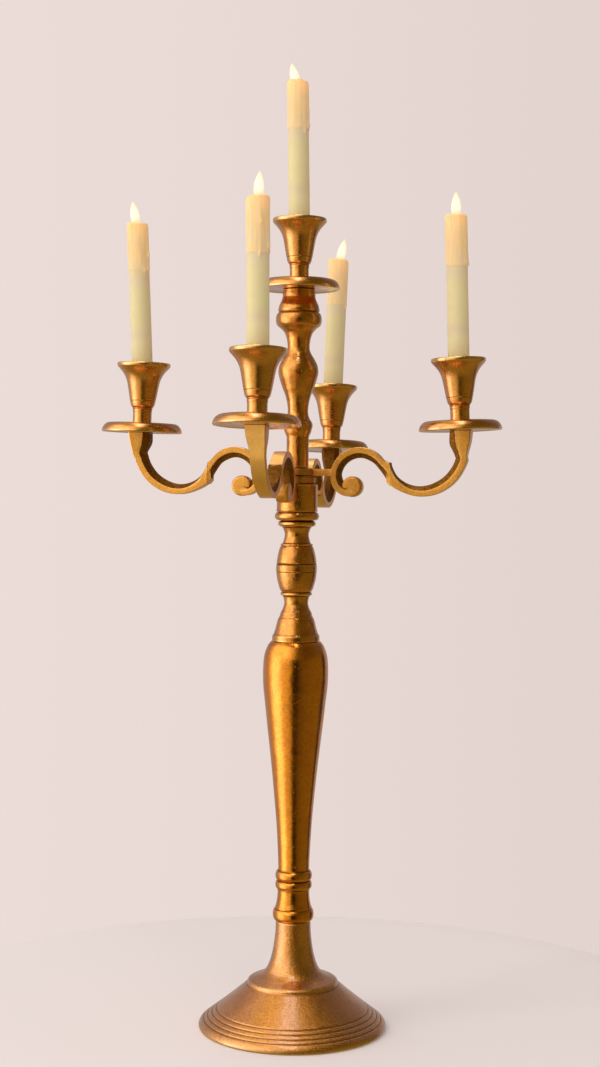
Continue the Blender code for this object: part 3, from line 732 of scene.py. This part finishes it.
def candle_shell(side):
    """The hollow wax stick: plain below, a dipped coat with drips above, and a melted rim round the flame."""
    segments, outer = 96, STICK_RADIUS
    length, pivot = candle_size(side)
    towards, swing = RIMS[side]
    rows = [(outer - 0.7, 0), (outer - 0.1, 0.5), (outer, 1.2)]
    rows += [(outer, z) for z in np.linspace(6, 96, 16)]
    rows += [(outer, z) for z in np.linspace(97.5, length - 4, 66)]
    for drop, depth in ((0.1, 2.8), (0.4, 1.5), (0.8, 0.6), (1.3, 0.2)):
        rows.append((outer - drop, length - depth))
    inner_from = len(rows)
    rim_to, dish_to = inner_from + 2, inner_from + 6
    rows += [(8.5, min(length - 0.7, pivot + 7.6)), (7.7, pivot + 6.5), (6.8, pivot + 5.4),
             (5.6, pivot + 4.5), (4.6, pivot + 4), (FLAME_HOLE + 0.5, pivot + 3.7), (FLAME_HOLE, pivot + 3.1)]
    rows += [(FLAME_HOLE, pivot - 3.5), (CAVITY_RADIUS, pivot - 4.5), (CAVITY_RADIUS, 60), (CAVITY_RADIUS, 0)]
    points, faces, coats, glows = [], [], [], []
    seed = seed_of(side)
    for row, (radius, level) in enumerate(rows):
        for k in range(segments):
            degrees = 360 * k / segments
            angle = radians(degrees)
            wave = noise.noise(Vector((1.6 * cos(angle), 1.6 * sin(angle), seed + 3)))
            top = smooth((level - length + 25) / 24) if row < rim_to else 0
            spot = level + top * (swing * cos(angle - radians(towards)) + wave - swing - 0.5)
            bulk, share, wobble = 0, 0, 0
            if row < inner_from:
                bulk, share = candle_bulk(side, length, degrees, level)
                wobble = 0.14 * noise.noise(Vector((cos(angle), sin(angle), level / 30 + seed)))
            elif radius > FLAME_HOLE + 1:
                bulk, share = COAT_THICKNESS * 0.4 * (radius - FLAME_HOLE) / 7, 1
            reach = radius + bulk + wobble
            points.append(Vector((reach * cos(angle), reach * sin(angle), spot)) * MM)
            coats.append(share)
            # painted light: how strongly the wax glows, rising towards the top, and steady inside below the
            # dish
            glows.append(smooth((level - length + 47) / 46) if row < dish_to else 0.6)
    for row in range(len(rows)):
        low, high = row * segments, (row + 1) % len(rows) * segments
        for k in range(segments):
            after = (k + 1) % segments
            faces.append((low + k, low + after, high + after, high + k))
    return mesh_object(f"wax_{side}", points, faces, candle_matrix(side), {"coat": coats, "glow": glows})


def flame_matrix(side):
    """The flame's frame: origin at its pin, +Z up its middle, read from the paddle's tip."""
    pivot = Vector(JOINTS[f"flame_sway_{side}"]["pos_m"])
    points = [v.co for v in NODES[f"flame_{side}"].data.vertices]
    tip = max(points, key=lambda p: (p - pivot).length if p.z > pivot.z else 0)
    return axis_matrix(pivot, tip - pivot)


def flame(side):
    """The paddle with its neck and counterweight: a leaf that thins and curls towards its tip."""
    outline = [(0, -18, 1), (2.2, -17.9, 1), (3, -17.2, 1), (3, -8.2, 1), (2.4, -7.4, 1),
               (1.5, -6.6, 1), (1.5, -2.6, 1), (2, -1.4, 1), (2.2, 0, 1), (2, 1.4, 0.9)]
    leaf = spline([(1.5, 3), (2.2, 4.8), (3.4, 6.8), (4.4, 9.6), (4.85, 12.6), (4.85, 15.6), (4.4, 19.2),
                   (3.6, 22.4), (2.6, 25.2), (1.5, 27.7), (0.6, 29.4)], 5)
    outline += [(r, z, max(0.30, 0.8 - 0.16 * (z - 3))) for r, z in leaf] + [(0, 29.9, 1)]

    def spot_at(number, radius, level, angle):
        curl = 0.05 * max(0, level - 12) ** 1.5 / 4
        flat = outline[number][2]
        return Vector((radius * cos(angle) - curl * 0.2, radius * flat * sin(angle), level))

    points, faces = lathe([(r, z) for r, z, _ in outline], 40, spot_at)
    return mesh_object(f"flame_leaf_{side}", points, faces, flame_matrix(side))


# ---- materials ----


class Graph:
    """A node tree and short ways to add to it."""

    def __init__(self, tree):
        self.tree = tree

    def node(self, kind, sockets=(), **settings):
        node = self.tree.nodes.new("ShaderNode" + kind)
        for key, value in settings.items():
            setattr(node, key, value)
        for key, value in dict(sockets).items():
            self.join(value, node.inputs[key])
        return node

    def join(self, value, socket):
        """Links another node's output to the socket, or sets it to a plain value."""
        if isinstance(value, bpy.types.NodeSocket):
            self.tree.links.new(value, socket)
        else:
            socket.default_value = value

    def range(self, value, low, high, start=0, end=1):
        sockets = {"Value": value, "From Min": low, "From Max": high, "To Min": start, "To Max": end}
        return self.node("MapRange", sockets).outputs["Result"]

    def math(self, operation, a, b=0, clamp=False):
        return self.node("Math", {0: a, 1: b}, operation=operation, use_clamp=clamp).outputs[0]

    def times(self, a, b):
        return self.math("MULTIPLY", a, b)

    def plus(self, a, b):
        return self.math("ADD", a, b)

    def ramp(self, value, stops):
        """A colour by the value, through (position, colour) stops."""
        node = self.node("ValToRGB", {"Fac": value})
        elements = node.color_ramp.elements
        while len(elements) < len(stops):
            elements.new(0.5)
        for element, (position, colour) in zip(elements, stops):
            element.position = position
            element.color = (*colour, 1)
        return node.outputs["Color"]

    def mix(self, share, first, second):
        """The first colour where the share is 0, the second where it is 1."""
        node = self.node("Mix", {"Factor": share}, data_type="RGBA")
        for value, socket in zip((first, second), [s for s in node.inputs if s.type == "RGBA"]):
            self.join((*value, 1) if isinstance(value, tuple) else value, socket)
        return [s for s in node.outputs if s.type == "RGBA"][0]


class Shading(Graph):
    """One material's nodes."""

    def __init__(self, name, **values):
        self.material = bpy.data.materials.new(name)
        self.material.use_nodes = True
        super().__init__(self.material.node_tree)
        self.shader = self.tree.nodes["Principled BSDF"]
        for key, value in values.items():
            self.set(key.replace("_", " "), value)
        self.place = self.node("TexCoord").outputs["Object"]

    def set(self, key, value):
        """Sets or links a socket of the shader."""
        if isinstance(value, tuple) and "Radius" not in key:
            value = (*value, 1)
        self.join(value, self.shader.inputs[key])

    def scaled(self, scale, stretch=(1, 1, 1)):
        """Object space with scale features per millimetre, stretched along the axes."""
        sockets = {"Vector": self.place, "Scale": tuple(scale / MM * s for s in stretch)}
        return self.node("Mapping", sockets).outputs["Vector"]

    def noise(self, scale, detail=3, roughness=0.5, distortion=0, stretch=(1, 1, 1)):
        sockets = {"Vector": self.scaled(scale, stretch), "Scale": 1, "Detail": detail,
                   "Roughness": roughness, "Distortion": distortion}
        return self.node("TexNoise", sockets).outputs["Fac"]

    def cells(self, scale):
        sockets = {"Vector": self.scaled(scale), "Scale": 1}
        return self.node("TexVoronoi", sockets).outputs["Distance"]

    def attribute(self, name):
        return self.node("Attribute", attribute_name=name).outputs["Fac"]

    def axis(self, letter):
        return self.node("SeparateXYZ", {"Vector": self.place}).outputs[letter]

    def bump(self, layers):
        """Bumps laid over each other, each (height, depth in millimetres)."""
        normal = None
        for value, depth in layers:
            sockets = {"Height": value, "Distance": depth * MM, "Strength": 1}
            if normal is not None:
                sockets["Normal"] = normal
            normal = self.node("Bump", sockets).outputs["Normal"]
        self.join(normal, self.shader.inputs["Normal"])


# painted shade: recesses take this colour, partly as dirt and partly as the shade that falls there
DIRT_AND_SHADE = (0.20, 0.078, 0.012)  # the colour in recesses


def gilt(name, tone, deep, worn_and_highlight, roughness, grain, waves, pits, lines=0, streaks=0, coat=0.7, fineness=1):
    """Lacquered gilt metal: tone mottled with deep, darkened in recesses by dirt and painted shade, and lighter
    on edges by wear and a painted highlight. The cast grain, slow waves, pits, lathe lines about Z and brushed
    streaks are depths in millimetres, and the fineness is the number of grains in a millimetre."""
    s = Shading(name, Metallic=1, Coat_Roughness=0.2, Coat_IOR=1.75)
    recess = s.attribute("recess")
    cloud = s.noise(0.045, 4, 0.6)
    mottle = s.noise(0.35, 3, 0.6)
    speck = s.noise(1.3 * fineness, 2, 0.6)
    halfway = tuple(0.5 * (a + b) for a, b in zip(tone, deep))
    colour = s.mix(s.range(cloud, 0.38, 0.66), tone, halfway)
    colour = s.mix(s.range(mottle, 0.46, 0.72, 0, 0.65), colour, deep)
    colour = s.mix(s.range(speck, 0.56, 0.74, 0, 0.7), colour, tuple(0.40 * c for c in deep))
    # painted shade and dirt: recessed points are darkened towards that colour
    dirt_and_shade = s.times(s.range(recess, 0.12, 0.85), s.range(mottle, 0.2, 0.7, 0.7, 1))
    colour = s.mix(dirt_and_shade, colour, DIRT_AND_SHADE)
    # painted highlight and wear: standing edges and ridges take the lighter worn colour
    wear_and_sheen = s.times(s.range(recess, -0.15, -0.8), s.range(mottle, 0.25, 0.6, 0.3, 0.9))
    s.set("Base Color", s.mix(wear_and_sheen, colour, worn_and_highlight))
    rough = s.range(s.noise(0.6, 4, 0.65, 0.4), 0.3, 0.75, *roughness)
    s.set("Roughness", s.plus(rough, s.times(dirt_and_shade, 0.18)))
    s.set("Coat Weight", s.range(dirt_and_shade, 0, 0.8, coat, 0))
    pitted = s.math("SUBTRACT", 1, s.range(s.noise(0.12, 2), 0.50, 0.62))
    hole = s.math("ADD", s.range(s.cells(0.42), 0.10, 0.26), pitted, clamp=True)
    layers = [(s.noise(0.07, 2, 0.5, 0.3), waves), (s.noise(0.3, 2, 0.5), waves * 0.16),
              (s.noise(fineness, 4, 0.7), grain), (hole, pits)]
    if lines:
        layers.append((s.noise(1, 2, 0.6, stretch=(0.012, 0.012, 3)), lines))
    if streaks:
        layers.append((s.noise(1, 3, 0.6, 0.2, stretch=(0.25, 2.6, 0.25)), streaks))
    s.bump(layers)
    return s.material


def wax_material():
    """Ivory wax, darker bands of painted shade where the cells sit, and a warmer dipped coat with runs that
    glows with painted light, most towards the top.
    """
    s = Shading("candle_wax", IOR=1.44, Subsurface_Weight=0.55, Subsurface_Scale=0.008,
                Subsurface_Radius=(1, 0.5, 0.2), Specular_IOR_Level=0.4)
    coat, glow = s.attribute("coat"), s.attribute("glow")
    along = s.axis("Z")
    cloud = s.noise(0.09, 3, 0.55)
    fine = s.noise(0.7, 3, 0.6)
    # painted shade: the stick is darker in bands where the cells inside it sit
    stick = s.ramp(s.range(along, 0, WAX_SPAN * MM), [
        (0, (0.80, 0.60, 0.29)), (0.28, (0.82, 0.64, 0.36)), (0.33, (0.79, 0.57, 0.38)),
        (0.38, (0.82, 0.64, 0.34)), (0.60, (0.80, 0.63, 0.34)), (0.66, (0.79, 0.59, 0.38)),
        (0.71, (0.82, 0.59, 0.34))])
    runs = s.noise(0.5, 3, 0.55, 0.2, stretch=(1, 1, 0.07))
    stick = s.mix(s.range(cloud, 0.4, 0.7, 0, 0.5), stick, (0.74, 0.57, 0.30))
    # painted light: the coat grows more orange towards the top, as if lit by the flame inside
    dipped = s.ramp(s.range(along, 0.60 * WAX_SPAN * MM, WAX_SPAN * MM), [
        (0, (0.85, 0.60, 0.36)), (0.5, (0.84, 0.58, 0.31)), (1, (0.86, 0.53, 0.23))])
    dipped = s.mix(s.range(cloud, 0.35, 0.7, 0, 0.6), dipped, (0.87, 0.54, 0.22))
    dipped = s.mix(s.range(runs, 0.46, 0.66, 0, 0.6), dipped, (0.90, 0.66, 0.42))
    s.set("Base Color", s.mix(coat, stick, dipped))
    s.set("Roughness", s.range(fine, 0.3, 0.7, 0.36, 0.52))
    # painted light: the wax glows a little all over, the coat more and the top most, for light scattered into
    # its shaded side and the flame's light through the rim
    s.set("Emission Color", s.mix(coat, (1, 0.70, 0.32), (1, 0.58, 0.22)))
    lit = s.times(s.math("POWER", glow, 2), 0.16)
    painted_glow = s.plus(s.plus(s.times(coat, 0.05), lit), 0.045)
    s.set("Emission Strength", s.times(painted_glow, s.range(cloud, 0.3, 0.7, 0.8, 1.2)))
    s.bump([(s.noise(0.16, 2, 0.5), 0.25), (s.times(runs, coat), 0.35), (fine, 0.05)])
    return s.material


def flame_material():
    """The lit leaf, brightest at its middle and amber at its root, tip and edges."""
    s = Shading("flame_glow", Base_Color=(0.42, 0.34, 0.22), Roughness=0.35)
    along = s.range(s.axis("Z"), 3 * MM, 30 * MM)
    across = s.range(s.axis("X"), -4.9 * MM, 4.9 * MM)
    warm = s.ramp(along, [(0, (0.74, 0.42, 0.16)), (0.20, (0.82, 0.56, 0.28)), (0.36, (0.88, 0.80, 0.62)),
                          (0.62, (0.88, 0.82, 0.66)), (0.85, (0.82, 0.68, 0.48)), (1, (0.74, 0.56, 0.40))])
    side = s.math("ABSOLUTE", s.math("SUBTRACT", across, 0.48))
    s.set("Emission Color", s.mix(s.range(side, 0.18, 0.52, 0, 0.75), warm, (0.80, 0.62, 0.42)))
    ripple = s.noise(0.4, 2)
    inside = s.range(s.axis("Z"), 0, 4 * MM)
    s.set("Emission Strength", s.times(s.range(ripple, 0.3, 0.7, 0.86, 1), inside))
    s.bump([(ripple, 0.1)])
    return s.material


def plain_detail(name, tone, second, roughness, metallic, depth):
    """A small hidden part's finish: two mottled tones, uneven sheen and a fine grain."""
    s = Shading(name, Metallic=metallic)
    cloud, fine = s.noise(0.25, 3), s.noise(2, 3)
    s.set("Base Color", s.mix(s.range(cloud, 0.35, 0.65), tone, second))
    s.set("Roughness", s.range(fine, 0.3, 0.7, roughness - 0.08, roughness + 0.1))
    s.bump([(fine, depth)])
    return s.material


def battery_material():
    """A cell's sleeve: dark for two thirds, copper above, and bare steel at the ends."""
    s = Shading("battery_sleeve", Metallic=0.75)
    ends, dark, copper = (0.55, 0.54, 0.52), (0.03, 0.03, 0.035), (0.62, 0.30, 0.12)
    along = s.math("SUBTRACT", s.axis("Z"), CELL_START * MM)
    bands = s.math("FRACT", s.math("DIVIDE", along, CELL_PITCH * MM))
    tone = s.ramp(bands, [
        (0, ends), (0.03, dark), (0.62, dark), (0.64, copper), (0.95, copper), (0.98, ends)])
    cloud, fine = s.noise(0.3, 3), s.noise(2.4, 3)
    s.set("Base Color", s.mix(s.range(cloud, 0.35, 0.7, 0, 0.35), tone, (0.10, 0.08, 0.07)))
    s.set("Roughness", s.range(fine, 0.3, 0.7, 0.24, 0.42))
    s.bump([(fine, 0.03)])
    return s.material


def stage_material():
    """Pale matt paper for the table top."""
    s = Shading("studio_paper", Roughness=0.85)
    cloud = s.noise(0.002, 2)
    s.set("Base Color", s.mix(s.range(cloud, 0.3, 0.7), (0.92, 0.845, 0.83), (0.94, 0.86, 0.845)))
    return s.material


# ---- studio ----


def floor():
    """A pale round table top that the object stands on."""
    outline = [(0, -FLOOR_DEPTH), (FLOOR_RADIUS, -FLOOR_DEPTH)]
    for angle in np.linspace(pi / 2, 0, 6):
        out, up = FLOOR_ROUNDING * sin(angle), FLOOR_ROUNDING * cos(angle)
        outline.append((FLOOR_RADIUS - FLOOR_ROUNDING + out, up - FLOOR_ROUNDING))
    outline += [(0.4, 0), (0.2, 0), (0, 0)]
    points, faces = lathe([(r / MM, z / MM) for r, z in outline], 128, round_spot)
    piece = mesh_object("studio_floor", points, faces, Matrix.Identity(4))
    piece.data.materials.append(stage_material())
    piece.visible_glossy = False


def area_light(name, azimuth, distance, level, size, power, colour):
    """A soft panel at that azimuth, in degrees to the right of the viewer's side, pointing at the object. The
    metal doesn't mirror it: it has the room for that."""
    data = bpy.data.lights.new(name, "AREA")
    data.shape = "RECTANGLE"
    data.size, data.size_y = size
    data.energy = power
    data.color = colour
    angle = radians(CAMERA_AZIMUTH + azimuth)
    place = Vector((distance * sin(angle), -distance * cos(angle), level))
    facing = (Vector((0, 0, LIGHT_AIM)) - place).to_track_quat("-Z", "Y").to_matrix().to_4x4()
    linked(name, data, Matrix.Translation(place) @ facing).visible_glossy = False


# Brightness of the room by direction, in degrees to the right of the viewer's side: what upright faces
# mirror, then what faces that lean back mirror. The last list goes overhead, from left (-1) to right (1).
ROOM_LOW = [
    (-180, 0.42), (-132, 0.50), (-116, 0.60), (-106, 0.85), (-96, 1.6), (-88, 2.6), (-66, 2.6),
    (-58, 1.9), (-50, 1.2), (-38, 1), (-27, 0.88), (-16, 0.42), (-9, 0.03), (5, 0.02),
    (14, 0.09), (24, 0.14), (44, 0.20), (66, 0.22), (108, 0.25), (115, 0.05), (125, 0.05),
    (134, 0.44), (180, 0.42)]
ROOM_HIGH = [
    (-180, 0.30), (-130, 0.42), (-112, 0.9), (-96, 1.7), (-40, 1.9), (-24, 1.5), (-8, 0.7),
    (4, 0.20), (30, 0.12), (70, 0.14), (120, 0.18), (180, 0.30)]
ROOM_OVERHEAD = [
    (-1, 0.45), (-0.5, 0.50), (-0.3, 0.62), (-0.18, 1), (-0.10, 4), (0.02, 4), (0.07, 0.8),
    (0.16, 0.12), (1, 0.12)]
ROOM_BELOW = 0.30
SOFT_LIGHTS = ((1.08, 1.03, 1.00), (0.38, 0.35, 0.34))  # on matt surfaces, from the left and from the right
BRIGHTEST = 4  # the world's strength, so that its colours stay below 1
WHITE_FROM = 2.2  # light from here up has no tint
BEHIND_FROM = 108  # the directions, in degrees off the viewer's side, that are behind the object
BEHIND_TINT = (1, 0.87, 0.80)


def room_tint(level, behind=False):
    """The room's light at this level: golden where it is dim, white where it is bright, and the wall's own
    pale rose behind the object."""
    share = min(1, level / WHITE_FROM) ** 0.5
    tint = BEHIND_TINT if behind else (1, 0.74 + 0.26 * share, 0.06 + 0.94 * share**2)
    return tuple(c * level / BRIGHTEST for c in tint)


def world():
    """The room that the metal reflects, turned with the viewer, and the plain wall that the viewer sees,
    painted lighter at the left as if lit from there.
    """
    scene_world = bpy.data.worlds.new("room")
    bpy.context.scene.world = scene_world
    scene_world.use_nodes = True
    g = Graph(scene_world.node_tree)
    g.tree.nodes.clear()

    def ring(value, low, high, levels):
        """The room's light by direction, through (direction, level) stops."""
        first, last = levels[0][0], levels[-1][0]
        stops = [((place - first) / (last - first), room_tint(level, abs(place) > BEHIND_FROM))
                 for place, level in levels]
        return g.ramp(g.range(value, low, high), stops)

    def blend(value, low, high, first, second):
        return g.mix(g.range(value, low, high), first, second)

    def dimmed(colours):
        return [tuple(c / BRIGHTEST for c in colour) for colour in colours]

    turned_by = {"Vector": g.node("TexCoord").outputs["Generated"],
                 "Rotation": (0, 0, radians(-CAMERA_AZIMUTH))}
    direction = g.node("Mapping", turned_by, vector_type="POINT").outputs[0]
    parts = g.node("SeparateXYZ", {0: direction}).outputs
    angle = g.math("ARCTAN2", parts["X"], g.times(parts["Y"], -1))
    low, high = (ring(angle, -pi, pi, levels) for levels in (ROOM_LOW, ROOM_HIGH))
    room = blend(parts["Z"], 0.12, 0.30, low, high)
    room = blend(parts["Z"], 0.74, 0.90, room, ring(parts["X"], -1, 1, ROOM_OVERHEAD))
    room = blend(parts["Z"], -0.30, -0.70, room, room_tint(ROOM_BELOW))
    soft = blend(parts["X"], -0.9, 0.9, *dimmed(SOFT_LIGHTS))
    wall = blend(parts["X"], -0.17, 0.17, *dimmed(WALL_COLOURS))
    ray = g.node("LightPath").outputs
    room = blend(ray["Is Glossy Ray"], 0, 1, soft, room)
    seen = blend(ray["Is Camera Ray"], 0, 1, room, wall)
    background = g.node("Background", {"Color": seen, "Strength": BRIGHTEST})
    g.node("OutputWorld", {0: background.outputs[0]})


def camera():
    """The view of the photograph, as a camera."""
    data = bpy.data.cameras.new("camera")
    data.lens = CAMERA_LENS
    data.sensor_width = 36
    data.sensor_fit = "AUTO"
    data.shift_y = CAMERA_SHIFT
    place = rotation(CAMERA_AZIMUTH, "Z") @ Vector((0, -CAMERA_DISTANCE, CAMERA_HEIGHT))
    facing = rotation(CAMERA_AZIMUTH + CAMERA_YAW, "Z") @ rotation(90, "X") @ rotation(CAMERA_ROLL, "Z")
    bpy.context.scene.camera = linked("camera", data, Matrix.Translation(place) @ facing)


# ---- assembly ----


def dress(piece, body, node, material):
    """Shows the piece in place of a CAD node."""
    piece.data.materials.clear()
    piece.data.materials.append(material)
    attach(piece, body)
    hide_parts(node)


def keep(node, material):
    """Keeps a CAD node with a finish of its own."""
    NODES[node].data.materials.clear()
    NODES[node].data.materials.append(material)


def stand(gilts):
    """Foot, stems and arm castings."""
    for name, outline, node, slot, *looks in (
            ("foot", foot_outline(), "base", "foot_gold", 192, 0.25, 60, 1, "foot"),
            ("vase", vase_outline(), "lower_stem", "polished_gold", 144, 0.35, 38, 2, "polished"),
            ("knop", knop_outline(), "middle_stem", "polished_gold", 144, 0.2, 24, 3, "cast"),
            ("baluster", baluster_outline(), "upper_stem", "polished_gold", 128, 0.2, 24, 4, "cast")):
        *casting, metal = looks
        dress(turned(name, outline, Matrix.Identity(4), *casting), "stand", node, gilts[metal])
    for sides in (("front", "back"), ("left", "right")):
        name = "arm_pair_" + "_".join(sides)
        dress(arm_pair(name, sides), "stand", name, gilts["arm"])


def main():
    """The whole object, station by station."""
    gilts = {
        "foot": gilt("gilt_foot", (0.80, 0.31, 0.06), (0.50, 0.17, 0.03), (0.94, 0.54, 0.21), (0.24, 0.38),
                     0.36, 0.6, 0.2, lines=0.02, coat=1, fineness=0.6),
        "polished": gilt("gilt_polished", (0.86, 0.29, 0.008), (0.58, 0.16, 0.004), (0.92, 0.44, 0.06),
                         (0.12, 0.22), 0.016, 0.45, 0.12, lines=0.012, coat=0.5),
        "cast": gilt("gilt_cast", (0.80, 0.29, 0.02), (0.48, 0.15, 0.01), (0.94, 0.50, 0.12), (0.16, 0.30),
                     0.06, 1, 0.3, coat=0.8),
        "arm": gilt("gilt_arm", (0.95, 0.44, 0.085), (0.70, 0.27, 0.04), (0.98, 0.60, 0.22), (0.38, 0.54),
                    0.05, 0.4, 0.15, streaks=0.03, coat=0.5)}
    cup_metal = gilt("gilt_cup", (0.80, 0.32, 0.052), (0.56, 0.195, 0.028), (0.94, 0.54, 0.22), (0.21, 0.33),
                     0.015, 0.3, 0.03, lines=0.02, coat=0.9)
    wax, glowing = wax_material(), flame_material()
    steel = plain_detail("zinc_steel", (0.58, 0.57, 0.53), (0.40, 0.37, 0.31), 0.36, 1, 0.05)
    led = plain_detail("led_housing", (0.80, 0.79, 0.74), (0.68, 0.66, 0.60), 0.42, 0, 0.03)
    cap = plain_detail("cap_plastic", (0.80, 0.72, 0.50), (0.70, 0.62, 0.42), 0.46, 0, 0.04)
    cell = battery_material()
    stand(gilts)
    pan_line, cup_line = pan_outline(), cup_outline()
    for number, side in enumerate(SIDES):
        pan = turned(f"pan_{side}", pan_line, SEATS[side], 112, 0.25, 30, 5 + number)
        dress(pan, "stand", f"drip_pan_{side}", cup_metal)
        cup = turned(f"cup_{side}", cup_line, SEATS[side], 96, 0.2, 24, 11 + number)
        dress(cup, "stand", f"candle_cup_{side}", cup_metal)
        dress(candle_shell(side), f"candle_{side}", f"candle_shell_{side}", wax)
        dress(flame(side), f"paddle_{side}", f"flame_{side}", glowing)
        for node, finish in (("cup_screw", steel), ("flame_pin", steel), ("led_module", led),
                             ("battery_upper", cell), ("battery_lower", cell), ("battery_cap", cap)):
            keep(f"{node}_{side}", finish)
    for node in ("tie_rod", "base_washer", "base_nut"):
        keep(node, steel)


main()
floor()
world()
area_light("key_panel", -62, 1.9, 1.35, (0.9, 1.3), 10, (1, 0.95, 0.90))
area_light("front_fill", 8, 2.4, 1.5, (1.6, 1.2), 9, (1, 0.97, 0.95))
camera()
bpy.context.scene.view_settings.view_transform = "Standard"
bpy.context.view_layer.update()
